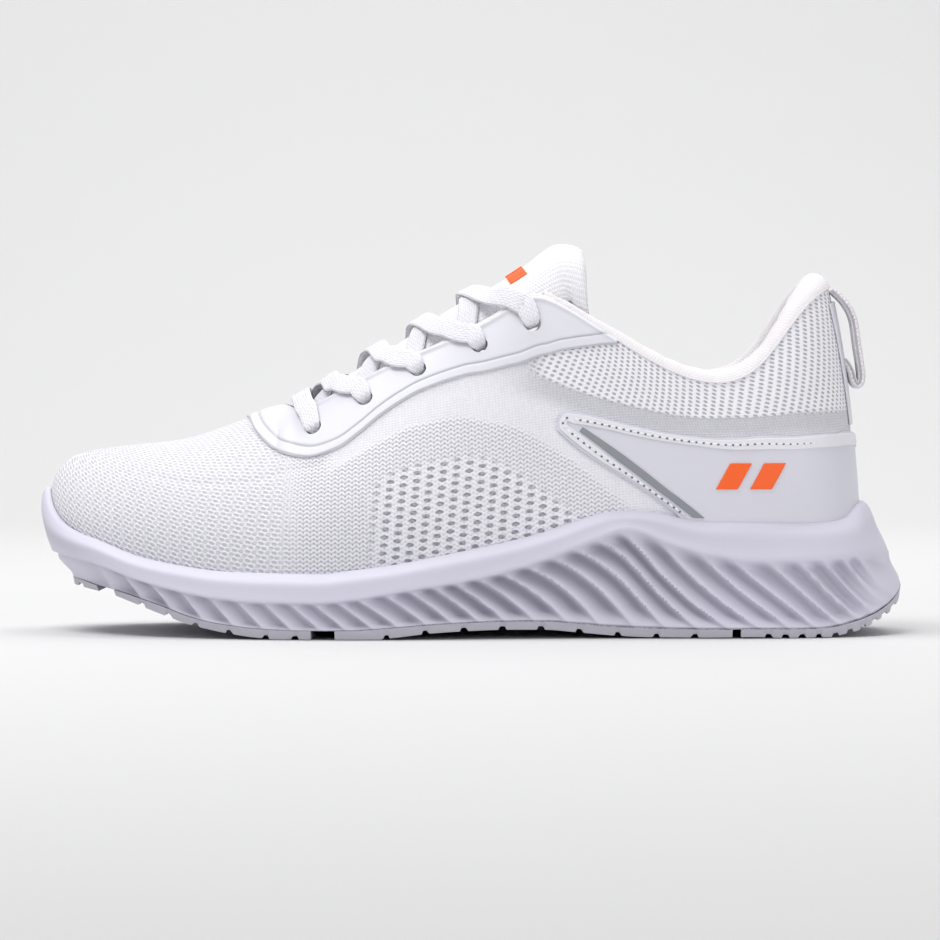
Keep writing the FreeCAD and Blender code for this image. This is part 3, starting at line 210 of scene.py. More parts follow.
def outline(side, q):
    """Point and outward normal of the widest outline, q 0 toe to 1 heel."""
    i = arc_index(side, min(max(q, 0.0), 1.0))
    a, b = ring_at(side, i - 0.01), ring_at(side, i + 0.01)
    tx, ty = b[0] - a[0], b[1] - a[1]
    l = math.hypot(tx, ty)
    s = 1 if side == 0 else -1
    p = ring_at(side, i)
    return p[0], p[1], s * ty / l, -s * tx / l


def q_of_x(side, x):
    lo, hi = 0.0, 1.0
    for _ in range(40):
        m = (lo + hi) / 2
        if outline(side, m)[0] < x:
            lo = m
        else:
            hi = m
    return lo


# ------------------------------------------------------------------ heights along the shoe
Z_RIM = table([(-143.3, 47.3), (-142.6, 45.3), (-141.3, 41.6), (-139, 38), (-133.6, 34.3),
               (-122.8, 30.6), (-109.2, 25.8), (-95.7, 23.2), (-82, 21.5), (-68.3, 21), (-48, 20.8),
               (-39.1, 21.8), (-24, 23.7), (-10, 26.3), (5.3, 29.3), (20.7, 32.8), (32, 36.2),
               (39.7, 38.9), (47.3, 40.6), (55, 40.8), (62.7, 40.2), (70.3, 38.2), (78, 37.2),
               (89.5, 37.2), (110, 36.7), (123, 37.2), (130.5, 38.4), (135, 40.4), (139.5, 42.3),
               (143.3, 43)])
Z_RIDGE = table([(-143.3, 26.8), (-135, 26), (-123.3, 23.7), (-108.7, 18.8), (-94.3, 15.3),
                 (-81.7, 13.2), (-69, 12.2), (-50.5, 12), (-39.2, 12.9), (-27.7, 14.8), (-16.2, 16.8),
                 (-6.7, 18.2), (5.3, 20.5), (20.6, 24.7), (35.9, 30.5), (43.6, 33.6), (48.2, 35.3),
                 (51.2, 35.8), (55, 35.1), (62.7, 32), (70.3, 29.3), (81.8, 26.7), (93.3, 25.2),
                 (108, 25.5), (121, 26), (132, 27), (139.5, 27.6), (143.3, 27.8)])
Z_JOINT = table([(-143.3, 18), (-136, 17.6), (-128, 16.4), (-115.7, 14.3), (-108, 12.2),
                 (-100.3, 9.9), (-92.7, 7.2), (-85.1, 5.3), (-77.4, 4.2), (-69.8, 3.4), (-54.5, 2.8),
                 (-39.2, 2.9), (-23.8, 3.8), (-10, 4.8), (13, 5.6), (24.3, 5.5), (35.9, 4.6),
                 (47.3, 3.6), (62.7, 3.0), (81.8, 2.8), (93.3, 2.9), (107.3, 2.8), (116.2, 3.1),
                 (122.1, 4.2), (131.1, 6.9), (137, 9.9), (141.2, 13.3), (143.3, 15.8)])
Z_TREAD = table([(-143.3, 15.6), (-132, 14.8), (-120, 13.2), (-114.1, 11.6), (-108, 9.6),
                 (-100.3, 7.0), (-92.7, 4.6), (-81.3, 2.1), (-69.8, 0.5), (-58.3, -0.3), (-33.8, -0.3),
                 (-23.8, 0.6), (-12.3, 1.9), (-2.3, 2.5), (11.3, 2.9), (24.3, 2.8), (35.9, 1.8),
                 (47.3, 0.8), (58.9, 0.25), (78, 0.15), (92, 0.3), (98.7, 0.1), (105, -0.25),
                 (116, -0.25), (122.1, 0.9), (128, 2.2), (134, 4.8), (140, 8.4), (142.6, 11.2),
                 (143.3, 12.6)])
Z_BED = table([(-143.3, 40), (-140, 37.5), (-135, 33.6), (-128, 29.3), (-120, 25.6), (-100, 19.6),
               (-80, 16.2), (-60, 14.8), (-40, 15.2), (-20, 17), (0, 19.5), (20, 22.3), (40, 25),
               (60, 27), (80, 28), (100, 28.5), (130, 29.5)])
RIDGE_TOP = table([(-135, 57.0), (-130.5, 58.9), (-122.8, 60.6), (-109.2, 62.2), (-102.4, 62.8),
                   (-95.7, 63.8), (-88.8, 65.7), (-82, 68.0), (-75.2, 70.6), (-69.7, 72.4),
                   (-63, 74.9), (-60, 76)])
MID_Y = table([(-143.3, 8), (-130, 7.8), (-100, 6), (-80, 4.5), (-60, 3)])

# insets from the widest outline, by the outline's own x
IN_BULGE = table([(-143.3, 0.0), (-125, 0.4), (-90, 1.0), (20, 1.2), (60, 2.2), (110, 3.2),
                  (130, 5.5), (139, 8.0), (143.3, 8.9)])
IN_RIDGE = table([(-143.3, 3.3), (-136, 2.2), (-120, 0.4), (-95, 0.0), (30, 0.0), (70, 0.7),
                  (110, 1.5), (132, 3.3), (143.3, 4.5)])
IN_WAIST = table([(-143.3, 5.4), (-130, 3.8), (-110, 1.8), (0, 1.8), (60, 2.3), (115, 2.6),
                  (130, 3.3), (143.3, 3.6)])
IN_JOINT = table([(-143.3, 10.4), (-136, 8.6), (-125, 6.0), (-110, 3.6), (-90, 2.6), (0, 1.6),
                  (40, 0.8), (80, 0.0), (143.3, 0.0)])

# rib crests: where each crosses the ridge line and the joint line
RIB_TOP = [-146, -134, -121.7, -113.3, -104.3, -94.3, -85, -76, -67.3, -59, -51.3, -43.7, -37,
           -28.3, -20.7, -13, -6, 1.3, 9, 17, 25, 32.3, 39.7, 47.3, 60.3, 73.3, 84, 95.7, 105.7, 114,
           121.3, 126.7, 134, 142]
RIB_LOW = [-140, -128, -117.3, -107.3, -97.3, -86.7, -76.7, -67, -57.7, -48.3, -40, -31.3, -23.3,
           -14, -5.7, 3, 11.3, 21, 31.3, 42, 53.3, 63.7, 74, 84, 94, 104, 112.7, 120.7, 127, 132,
           136.7, 140, 145, 152]


def rib_depth(x, z, xo):
    """Inward depth of the wavy side grooves."""
    hi, lo = Z_RIDGE(xo), Z_JOINT(xo)
    f = (hi - z) / (hi - lo)
    xs = [a + (b - a) * f for a, b in zip(RIB_TOP, RIB_LOW)]
    k = 0
    while k < len(xs) - 2 and xs[k + 1] < x:
        k += 1
    t = min(max((x - xs[k]) / (xs[k + 1] - xs[k]), 0.0), 1.0)
    env = step(f, 0.0, 0.22) * (1 - 0.75 * step(f, 0.72, 1.0))
    env *= step(x, -132, -100) * (1 - step(x, 118, 138))
    env *= 0.55 + 0.45 * step(x, -60, 20)
    return size_rib * env * math.sin(math.pi * t) ** 0.8


size_rib = size("RibDeep")

# ------------------------------------------------------------------ upper base surface
# stations run 0 at the toe centre to 18 at the heel centre
FOOT_X = [-143.3, -140.4, -131, -116, -99, -83, -67, -52, -38, -21, -2, 18, 38, 57, 75, 93, 112, 131,
          143.3]
INSET = [3.9, 4.2, 4.8, 5.4, 5.8, 6.0, 6.2, 6.3, 6.4, 6.4, 6.4, 6.4, 6.6, 7.0, 7.4, 8.2, 9.8, 12.3,
         14.0]
D1 = [(3.4, 9.5, 0), (3.2, 10.5, 0), (3.0, 13, 0), (3.4, 17, 0), (3.8, 21, 0), (4.0, 23, 0),
      (4.0, 24, 0), (3.5, 25, 0), (3.0, 26, -1), (2.5, 27, -1), (2.0, 29, -1), (1.5, 31, -1),
      (1.2, 32, -1.5), (1.6, 28, -1), (2.4, 25, 0), (3.0, 23, 0), (2.6, 26, 0), (0.5, 30, 0),
      (-1.8, 32, 0)]
TOP = [None] * 7 + [(-55.5, -13.5, 73.2), (-42, -20, 79.6), (-24, -23, 89), (-5, -24.8, 97.3),
                    (12, -25.4, 106.6), (23.6, -25.8, 110.6), (42, -29.6, 100.4), (60, -32.0, 89.2),
                    (77, -32.0, 82.9), (94, -29.2, 87.6), (109.4, -19.5, 106.4), (119.2, 0, 114.2)]
TOP_M = [None] * 7 + [(-55.5, 18.0, 73.2), (-42, 22.5, 79.6), (-24, 24, 89), (-5, 25.2, 97.3),
                      (12, 25.4, 106.6), (23.6, 25.8, 110.6), (42, 29.2, 100.4), (60, 31.2, 89.2),
                      (77, 31.2, 82.9), (94, 28.6, 87.6), (109.4, 19.2, 106.4), (119.2, 0, 114.2)]
VAMP_X = [-130.5, -127.2, -121, -112, -100, -84, -61.5]
D2 = [(-7, 0, 0), (-5.5, -7, 0), (-3, -13, 0), (-1, -19, 0), (0, -23, 0), (0, -24, 0), (0, -21, 0),
      (0, -15.5, -7), (1, -14, -11), (1, -13, -14), (1.5, -11.5, -17), (2, -9.5, -20),
      (3.5, -8, -20), (3, -5.5, -16), (2, -3.8, -14), (3, -3.8, -13), (5, -4.8, -15),
      (7, -5, -21), (5.6, 0, -22.3)]
NS = 19


def foot_point(side, k):
    q = 0.0 if k == 0 else 1.0 if k == NS - 1 else q_of_x(side, FOOT_X[k])
    x, y, nx, ny = outline(side, q)
    d = INSET[k] - (0.0 if side == 0 else 0.4 * math.sin(math.pi * k / (NS - 1)))
    return (x - nx * d, y - ny * d), (nx, ny), q


FOOT, HAND, QS = [[], []], [[], []], [[], []]
for side in (0, 1):
    for k in range(NS):
        (x, y), (nx, ny), q = foot_point(side, k)
        out, up, dx = D1[k]
        FOOT[side].append((x, y, Z_BED(x) + 1.5))
        HAND[side].append((nx * out + dx, ny * out, up))
        QS[side].append(q)


def loop(lat, med):
    f = smooth(lat + med[-2:0:-1], closed=True)
    return lambda side, s: f(s if side == 0 else 2 * (NS - 1) - s)


F_FOOT = loop(FOOT[0], FOOT[1])
F_HAND = loop(HAND[0], HAND[1])
D2M = [(a, -b * (0.88 if 2 <= i <= 6 else 1.0), c) for i, (a, b, c) in enumerate(D2)]
F_D2 = loop(D2, D2M)
F_VX = smooth([(x,) for x in VAMP_X])
TOPLINE = smooth([(-61.5, 3, RIDGE_TOP(-61.5))] + TOP[7:] + TOP_M[-2:6:-1]
                 + [(-61.5, 3, RIDGE_TOP(-61.5))])
TN = 2 * (NS - 7)
S_OF_Q = [table(list(zip(QS[i], range(NS)))) for i in (0, 1)]
Q_OF_S = [table(list(zip(range(NS), QS[i]))) for i in (0, 1)]


def top_point(side, s):
    if s <= 6:
        x = F_VX(max(s, 0.0))[0]
        return (x, MID_Y(x), RIDGE_TOP(x))
    return TOPLINE(s - 6 if side == 0 else TN - (s - 6))


def controls(side, s):
    if s < 0:
        side, s = 1 - side, -s
    if s > NS - 1:
        side, s = 1 - side, 2 * (NS - 1) - s
    p0, p3 = F_FOOT(side, s), top_point(side, s)
    p1 = add(p0, F_HAND(side, s))
    d = F_D2(side, s)
    if s < 6.8:
        slope = (RIDGE_TOP(p3[0] + 1) - RIDGE_TOP(p3[0] - 1)) / 2 if s < 6 else 0.0
        zz = d[0] * slope
        d = (d[0], d[1], zz if s <= 6 else zz + (d[2] - zz) * step(s, 6, 6.8))
    return p0, p1, add(p3, d), p3


def base(side, s, t):
    a, b, c, d = controls(side, s)
    u = 1 - t
    k0, k1, k2, k3 = u * u * u, 3 * u * u * t, 3 * u * t * t, t * t * t
    return tuple(a[i] * k0 + b[i] * k1 + c[i] * k2 + d[i] * k3 for i in range(3))


def normal(side, s, t):
    if s <= 6.0 and t > 0.995:
        x = top_point(side, max(s, 0.0))[0]
        return unit((-(RIDGE_TOP(x + 1) - RIDGE_TOP(x - 1)) / 2, 0.0, 1.0))
    if t > 0.97 and s < 0.25:
        t = 0.97
    if 6 < s < 7:
        t = min(t, 0.88 + 0.12 * (s - 6))
    e = 0.02
    a, b = base(side, s - e, t), base(side, s + e, t)
    t0, t1 = max(t - 0.01, 0.0), min(t + 0.01, 1.0)
    c, d = base(side, s, t0), base(side, s, t1)
    n = unit(cross([b[i] - a[i] for i in range(3)], [d[i] - c[i] for i in range(3)]))
    p = base(side, s, t)
    mid = (min(max(p[0] * 0.92, -118), 100), MID_Y(p[0]) * 0.8, 44)
    if sum(n[i] * (p[i] - mid[i]) for i in range(3)) < 0:
        n = (-n[0], -n[1], -n[2])
    return n


def skin(side, s, t, off):
    """Point at a set distance outside (+) or inside (-) the upper's outer face."""
    return add(base(side, s, t), normal(side, s, t), off)


def locate(x, z, side=0):
    """(s, t) on a side whose point has this x and z."""
    best = None
    for i in range(1, 36):
        for j in range(1, 20):
            s, t = i * 0.5, j * 0.05
            p = base(side, s, t)
            d = (p[0] - x) ** 2 + (p[2] - z) ** 2
            if best is None or d < best[0]:
                best = (d, s, t)
    _, s, t = best
    for _ in range(12):
        p = base(side, s, t)
        a, b = base(side, s + 0.01, t), base(side, s, t + 0.001)
        ax, az = (a[0] - p[0]) / 0.01, (a[2] - p[2]) / 0.01
        bx, bz = (b[0] - p[0]) / 0.001, (b[2] - p[2]) / 0.001
        det = ax * bz - az * bx
        if abs(det) < 1e-9:
            break
        rx, rz = x - p[0], z - p[2]
        s += min(max((rx * bz - rz * bx) / det, -0.5), 0.5)
        t += min(max((ax * rz - az * rx) / det, -0.1), 0.1)
        s, t = min(max(s, 0.0), 18.0), min(max(t, 0.0), 1.0)
    return s, t


EYE_OUT = [(-72.6, 67.2), (-71, 64.6), (-68.3, 62.4), (-61.7, 60.2), (-54.7, 58.6), (-50, 58.8),
           (-43, 61.2), (-36.3, 65.9), (-29.3, 71.7), (-22.7, 76.2), (-16, 79.9), (-9, 82.6),
           (-2.3, 84.7), (4.7, 86), (11.3, 87.7), (18.2, 89.6), (25, 91.8), (31.7, 93.5),
           (38.7, 94.5), (45.3, 95.2)]
eye_st = [locate(x, z) for x, z in EYE_OUT]
S_FRONT = 5.45
eye_t = table([(S_FRONT, 0.80)] + [(s, t) for s, t in eye_st if s > S_FRONT + 0.25]
              + [(13.35, 0.975)])
S_EYE_END = 13.3


T_OV, T_TR = size("OverlayThick"), size("TrimThick")
HOLES = [(-50.7, 67.5), (-34, 77.2), (-16.7, 86.8), (3.3, 94.8), (20.5, 101.8)]
hole_st = [locate(x, z) for x, z in HOLES]


PAD = table([(11.9, 3.4), (12.6, 5.0), (13.4, 7.2), (14.4, size("CollarPad")), (18, size("CollarPad"))])
LOW = KNIT + GAP + size("CounterThick") + GAP


def lining_depth(s, t):
    """Depth of the collar lining's outer face below the upper's outer face."""
    thin = KNIT + GAP + 0.8
    low = thin + (LOW - thin) * step(s, 12.2, 13.6)
    return low + (PAD(s) - low) * step(t, 0.42, 0.80)


TL = size("LiningThick")


def roll(side, s, phi, o):
    """Rolled top of the collar; phi 0 outside, pi inside."""
    p, n = base(side, s, 1.0), normal(side, s, 1.0)
    q = base(side, s, 0.97)
    d = unit([p[i] - q[i] for i in range(3)])
    h = (PAD(s) + 1.3) / 2
    rise = 3.0 + 2.4 * step(s, 12, 14)
    c, e = math.cos(phi), math.sin(phi)
    return add(add(add(p, n, -h), n, (h + o) * c), d, (rise + o) * e + 0.12)


def path(points):
    """Resampled (s, t) path through side-view points; f(0..1)."""
    st = [locate(x, z) for x, z in points]
    run, acc = [0.0], 0.0
    for i in range(1, len(points)):
        acc += math.hypot(points[i][0] - points[i - 1][0], points[i][1] - points[i - 1][1])
        run.append(acc)
    fs = table([(r / acc, st[i][0]) for i, r in enumerate(run)])
    ft = table([(r / acc, st[i][1]) for i, r in enumerate(run)])
    return lambda u: (fs(u), ft(u))


def rim_z(x):
    return Z_RIM(x if x < 100 else x + 0.33 * (x - 100))


def t_rim(side, s, lift=0.0):
    x = outline(side, Q_OF_S[side](s))[0]
    z = Z_RIM(x) + lift
    lo, hi = 0.0, 0.7
    for _ in range(30):
        m = (lo + hi) / 2
        if base(side, s, m)[2] < z:
            lo = m
        else:
            hi = m
    return lo


def heel_end(z):
    lo, hi = 0.0, 1.0
    for _ in range(30):
        m = (lo + hi) / 2
        if base(0, 18, m)[2] < z:
            lo = m
        else:
            hi = m
    return lo


def ends_at_heel(points, z_end):
    f = path(points)
    t_end = heel_end(z_end)
    s_last, t_last = f(1.0)

    def g(u):
        if u < 0.9:
            return f(u / 0.9)
        k = (u - 0.9) / 0.1
        return (s_last + (18 - s_last) * k, t_last + (t_end - t_last) * step(k, 0, 1))
    return g


BORDER = [(28.4, 71.0), (31, 73.6), (38.7, 72.4), (46.3, 70.6), (54, 68.8), (61.7, 67.0), (69.3, 65.8),
          (76.9, 65), (92.2, 65.3), (107.5, 65.4), (120, 65.6)]
border = ends_at_heel(BORDER, 65.7)
DIAG = [(28.2, 67.4), (34.7, 61.8), (41.3, 57.2), (48.3, 53), (55, 48.9), (61.8, 44.2), (68.2, 39.6)]
diag = path(DIAG)
s_low, t_low = diag(1.0)


def low_edge(u):
    """Diagonal front edge, then along the midsole rim to the heel."""
    k = 0.42
    if u < k:
        return diag(u / k)
    s = s_low + (18 - s_low) * (u - k) / (1 - k)
    return (s, t_rim(0, s, 0.7) + (t_low - t_rim(0, s_low, 0.7)) * (1 - step(s, s_low, s_low + 0.4)))


O1 = GAP + T_OV
top_lo = ends_at_heel([(33.5, 69.4), (38.7, 68.6), (46.3, 67.2), (54, 65.4), (61.7, 64.0),
                       (69.3, 62.8), (76.9, 61.9), (92.2, 61.1), (107.5, 61.0), (120, 61.1)], 61.1)
top_hi = ends_at_heel([(33.5, 72.6), (38.7, 71.7), (46.3, 70.0), (54, 68.2), (61.7, 66.4),
                       (69.3, 65.2), (76.9, 64.4), (92.2, 64.7), (107.5, 64.8), (120, 65.0)], 65.1)
dg_lo = path([(30.2, 66.6), (35.5, 62.3), (42.1, 57.6), (49.1, 53.4), (55.8, 49.3), (62.6, 44.6),
              (68.6, 40.4)])
dg_hi = path([(32.4, 68.3), (41.1, 61.8), (48.2, 56.4), (54.8, 51.4), (60.2, 47.3), (65.1, 43.7),
              (70.6, 39.6)])
st_lo = path([(35.6, 66.9), (41.9, 62.3), (48.9, 56.9), (55.7, 51.9), (61.2, 47.7), (66.1, 44.1),
              (72.6, 39.0)])
st_hi = path([(36.6, 68.3), (45.0, 62.9), (51.9, 58.4), (58.3, 54.0), (64.5, 49.5), (70.5, 45.2),
              (78.6, 38.7)])
RIM = size("RimThick")


def levels(side, q):
    """Cup wall, rim, upper band and lower band poles of one section."""
    s = S_OF_Q[side](q) if 0 < q < 1 else (0.0 if q == 0 else 18.0)
    ox, oy, nx, ny = outline(side, q)
    tr = t_rim(side, s)
    cup_off = 0.25
    p0 = skin(side, s, 0.0, cup_off)
    bed = Z_BED(p0[0])
    cup = [(p0[0], p0[1], bed)] + [skin(side, s, tr * k / 3.0, cup_off) for k in range(1, 4)]
    top = cup[-1]
    thick = RIM + 1.2 * step(ox, 120, 143)
    t_out = (top[0] + nx * thick, top[1] + ny * thick, top[2] - 0.9)
    t_mid = (top[0] + nx * thick * 0.55, top[1] + ny * thick * 0.55, top[2] + 0.35)
    rim = [top, t_mid, t_out]
    zr, zj = Z_RIDGE(ox), Z_JOINT(ox)
    zb = zr + 0.58 * (t_out[2] - zr)

    def pt(inset, z):
        return (ox - nx * inset, oy - ny * inset, z)
    b, r = pt(IN_BULGE(ox), zb), pt(IN_RIDGE(ox), zr)
    up = [t_out, mix(t_out, b, 0.45), b, mix(b, r, 0.55), r]
    up[1] = add(up[1], (nx, ny, 0), 0.8)
    up[3] = add(up[3], (nx, ny, 0), 0.5)
    low = [r]
    for f in (0.07, 0.18, 0.32, 0.47, 0.62, 0.77, 0.9, 1.0):
        z = zr + (zj - zr) * f
        w = step(f, 0.0, 0.16)
        ins = IN_RIDGE(ox) + (IN_WAIST(ox) - IN_RIDGE(ox)) * w
        ins += (IN_JOINT(ox) - IN_WAIST(ox)) * step(f, 0.2, 1.0)
        x = ox - nx * ins
        ins += rib_depth(x, z, ox) if 0 < f < 1 else 0.0
        low.append(pt(ins, z))
    return cup, rim, up, low


TC = [(-76, 64.4), (-68, 67.8), (-61.5, 70.9), (-52, 75.9), (-41, 84.6), (-27.4, 93.2),
      (-14.5, 101.8), (-3.7, 108.8), (5.2, 113.2), (12, 117.4), (18, 121.4), (24.6, 126.4),
      (29.2, 128.9), (33.2, 130.2)]
TONGUE = smooth(TC)
TNN = len(TC) - 1.0
T_RAD = table([(0, 28), (2, 24.5), (3, 23.5), (5, 23.4), (7, 22.8), (9, 21.4), (10.5, 19.6), (12, 18.9), (13, 18.4)])
T_ANG = table([(0, 0.62), (2, 0.80), (4, 0.98), (7, 1.14), (9, 1.26), (10.5, 1.34), (12, 1.42), (13, 1.42)])
T_FOAM = table([(0, 2.0), (2, 4.0), (5, 5.5), (11, 6.0), (12.2, 5.6), (13, 3.6)])


def tongue(u, v, off):
    """u 0..12 along, v -1..1 across, off above the face."""
    c, a, b = TONGUE(u), TONGUE(u - 0.05), TONGUE(u + 0.05)
    t = unit((b[0] - a[0], 0, b[1] - a[1]))
    n = (-t[2], 0, t[0])
    r = T_RAD(u)
    y, k = r * math.sin(T_ANG(u) * v), math.cos(T_ANG(u) * v)
    drop = r - r * k
    p = (c[0] - n[0] * drop, y + 1.5 * (1 - u / TNN), c[1] - n[2] * drop)
    return add(p, (n[0] * k, y / r, n[2] * k), off)


def foam_t(u, v):
    return 1.2 + (T_FOAM(u) - 1.2) * (1 - abs(v) ** 2.4)


TF, TLN = size("TongueFace"), size("TongueLine")
LW, LT = size("LaceWide"), size("LaceThick")
BACK = KNIT + GAP + size("BackingThick")
IN_O = -(BACK + 0.95)


def across_tongue(u, y):
    k = min(max((y - 1.5 * (1 - u / TNN)) / T_RAD(u), -0.985), 0.985)
    return min(max(math.asin(k) / T_ANG(u), -1), 1)


def tongue_near(x, y):
    """Point on the tongue face above plan position x, y, with its normal."""
    u = 6.0
    for _ in range(40):
        v = across_tongue(u, y)
        p = tongue(u, v, 0)
        u = min(max(u + (x - p[0]) / 9.0, 0), TNN)
    v = across_tongue(u, y)
    p, q = tongue(u, v, 0), tongue(u, v, 1)
    return p, tuple(q[i] - p[i] for i in range(3))


def over_edge(side, s, off, reach):
    """Point past the throat edge, level with a strap that lies off above the skin."""
    p, q, n = base(side, s, 1.0), base(side, s, 0.93), normal(side, s, 1.0)
    d = unit([p[i] - q[i] for i in range(3)])
    return add(add(p, n, off), d, reach), n


TOP_O = GAP + T_OV


def hole_end(side, s, t, tm):
    """The strap's way down through an eyelet."""
    n, c = normal(side, s, t), base(side, s, t)
    go = unit([c[i] - skin(side, s - 0.1, tm, 0)[i] for i in range(3)])
    return [(add(add(c, n, TOP_O + 1.1), go, -1.5), unit(add(n, go, 0.35)), 4.0, LT),
            (add(add(c, n, TOP_O - 0.1), go, -0.15), unit(add(go, n, 0.5)), 3.3, LT),
            (add(add(c, n, -0.9), go, 0.0), go, 3.1, LT),
            (add(add(c, n, -BACK - 0.1), go, 0.0), go, 3.1, LT)]


def taut(floor, turns=400):
    """Pull a run of (point, normal) straight without letting it sink below where it lies."""
    p = [f[0] for f in floor]
    for _ in range(turns):
        for i in range(1, len(p) - 1):
            m = [(p[i - 1][j] + p[i + 1][j]) / 2 - floor[i][0][j] for j in range(3)]
            h = max(0.0, sum(m[j] * floor[i][1][j] for j in range(3)))
            p[i] = add(floor[i][0], floor[i][1], h)
    return p


FORWARD = (10.0, 12.0, 17.8, 20.0)


def strand(side, k, high):
    """From under hole k of one side to the top of hole k+1 on the other, pulled tight over the tongue."""
    o = 1 - side
    s, t = hole_st[k]
    s2, t2 = hole_st[k + 1]
    es, eo = s - (0.26 if k == 3 else 0.17), s2 - 0.36
    tm = t + (1 - t) * 0.5
    tm2 = t2 + (1 - t2) * 0.6
    a = skin(side, es, 1.0, IN_O - (-0.1 if k == 0 else 0.7))
    e = skin(o, eo, 1.0, TOP_O + 1.1)
    mid_x = base(o, s2, t2)[0] - FORWARD[k]
    floor = [(a, normal(side, es, 1.0), LW)]
    for i in range(1, 14):
        f = i / 14.0
        x = a[0] + (mid_x - a[0]) * f / 0.5 if f < 0.5 else mid_x + (e[0] - mid_x) * (f - 0.5) / 0.5
        p, n = tongue_near(x, a[1] + (e[1] - a[1]) * f)
        near = max(0.0, 1.0 - abs(f - 0.5) / (0.45 if f < 0.5 else 0.3))
        lift = 1.15 + (1.75 * min(1.0, 2.4 * near) + max(0.0, (1.6 if k < 2 else 0.95) - 5.0 * abs(f - 0.25)) if high else 0.0)
        floor.append((add(p, n, lift), n, LW))
    ne = normal(o, eo, 1.0)
    go = [floor[9][0][j] - e[j] for j in range(3)]
    out = sum(go[j] * ne[j] for j in range(3))
    go = unit(add(go, ne, -out))
    floor[12], floor[13] = (add(e, go, 6.4), ne, LW), (add(e, go, 3.2), ne, LW)
    floor.append((e, ne, LW))
    for f, w in ((0.3, LW), (0.65, LW)):
        sk_s, sk_t = eo + (s2 - 0.08 - eo) * f, 1.0 + (tm2 - 1.0) * f
        floor.append((skin(o, sk_s, sk_t, TOP_O + 1.05), normal(o, sk_s, sk_t), w))
    floor.append((skin(o, s2 - 0.1, tm2, TOP_O + 1.15), normal(o, s2 - 0.1, tm2), 6.2))
    line = taut(floor)
    pts = [(skin(side, s + 0.02, t, IN_O), normal(side, s, t), 4.6, LT),
           (skin(side, s, tm, IN_O - 0.1), normal(side, s, tm), 6.0, LT)]
    for i in [0, 2, 4, 6, 8, 10, 11, 12, 13, 14, 15, 16, 17]:
        n = floor[i][1]
        if 0 < i < 17:
            n = unit([sum(floor[j][1][c] for j in (i - 1, i, i + 1)) for c in range(3)])
        pts.append((line[i], n, floor[i][2], LT))
    return pts + hole_end(o, s2, t2, tm2)


# front bar between the first pair of holes
s, t = hole_st[0]
bar = []
for side in (0, 1):
    tm = t + (1 - t) * 0.6
    bar.append(hole_end(side, s, t, tm)[::-1]
               + [(skin(side, s - 0.07, tm, TOP_O + 1.25), normal(side, s, tm), 6.2, LT),
                  (skin(side, s - 0.14, 0.975, TOP_O + 1.5), normal(side, s, 0.975), LW, LT),
                  over_edge(side, s - 0.2, TOP_O + 1.8, 4.0) + (LW, LT)])
a, b = bar[0][-1][0], bar[1][-1][0]
middle = []
for f in (0.25, 0.5, 0.75):
    p = [a[i] + (b[i] - a[i]) * f for i in range(3)]
    rise = 1.3 if f == 0.5 else 1.0
    middle.append(((p[0] - rise, p[1], p[2] + rise), (-0.5, 0.0, 0.87), LW, LT))
tab_line = smooth([(121.9, 112.4), (125.2, 108.4), (127.5, 103.4), (128.5, 97.0), (129.4, 91.0),
                   (130.1, 85.6), (129.7, 82.6), (128.3, 82.0), (127.1, 84.0), (126.45, 87.2),
                   (126.1, 90.6)])


# ------------------------------------------------------------------ fast sampling of the upper skin
DS, DT = 0.1, 0.025
GS = int(round(18 / DS)) + 1
GT = int(round(1 / DT)) + 1


def sample_side(side):
    g = np.zeros((GS, GT, 6))
    for i in range(GS):
        for j in range(GT):
            s, t = i * DS, j * DT
            p = base(side, s, t)
            n = normal(side, s, t)
            g[i, j] = (*p, *n)
    return g


RAW = [sample_side(0), sample_side(1)]
for g in RAW:                       # calm the normals beside the throat's front corner
    i0, i1 = int(5.6 / DS), int(7.2 / DS)
    blk = g[i0:i1, int(0.86 / DT):, 3:]
    for _ in range(6):
        blk[1:-1] = (blk[:-2] + blk[2:] + 2 * blk[1:-1]) / 4
for _ in range(10):                 # ease the crease where the vamp's ridge ends and the throat begins
    i0, i1, j0 = int(5.3 / DS), int(7.0 / DS), int(0.70 / DT)
    for g in RAW:
        blk = g[i0:i1, j0:, :]
        w = np.linspace(0, 1, GT - j0)[None, :, None] ** 0.7
        new = (blk[:-2] + blk[2:] + 2 * blk[1:-1]) / 4
        blk[1:-1] = blk[1:-1] * (1 - w) + new * w
    m = (RAW[0][:61, -1] + RAW[1][:61, -1]) / 2
    RAW[0][:61, -1] = m
    RAW[1][:61, -1] = m
PADDED = []
for side in (0, 1):
    a, b = RAW[side], RAW[1 - side]
    g = np.concatenate([b[2:0:-1], a, b[-2:-4:-1]], axis=0)
    lo = np.stack([2 * g[:, 0] - g[:, 2], 2 * g[:, 0] - g[:, 1]], axis=1)
    hi = np.stack([2 * g[:, -1] - g[:, -2], 2 * g[:, -1] - g[:, -3]], axis=1)
    PADDED.append(np.concatenate([lo, g, hi], axis=1))


def crw(f):
    return [(-f + 2 * f ** 2 - f ** 3) / 2, (2 - 5 * f ** 2 + 3 * f ** 3) / 2,
            (f + 4 * f ** 2 - 3 * f ** 3) / 2, (-f ** 2 + f ** 3) / 2]


def field(g, s, t):
    x, y = s / DS + 2, t / DT + 2
    i = np.clip(np.floor(x).astype(int), 1, g.shape[0] - 3)
    j = np.clip(np.floor(y).astype(int), 1, g.shape[1] - 3)
    wx, wy = crw(np.clip(x - i, 0, 1)), crw(np.clip(y - j, 0, 1))
    out = 0
    for a in range(4):
        for b in range(4):
            out = out + (wx[a] * wy[b])[..., None] * g[i + a - 1, j + b - 1]
    return out


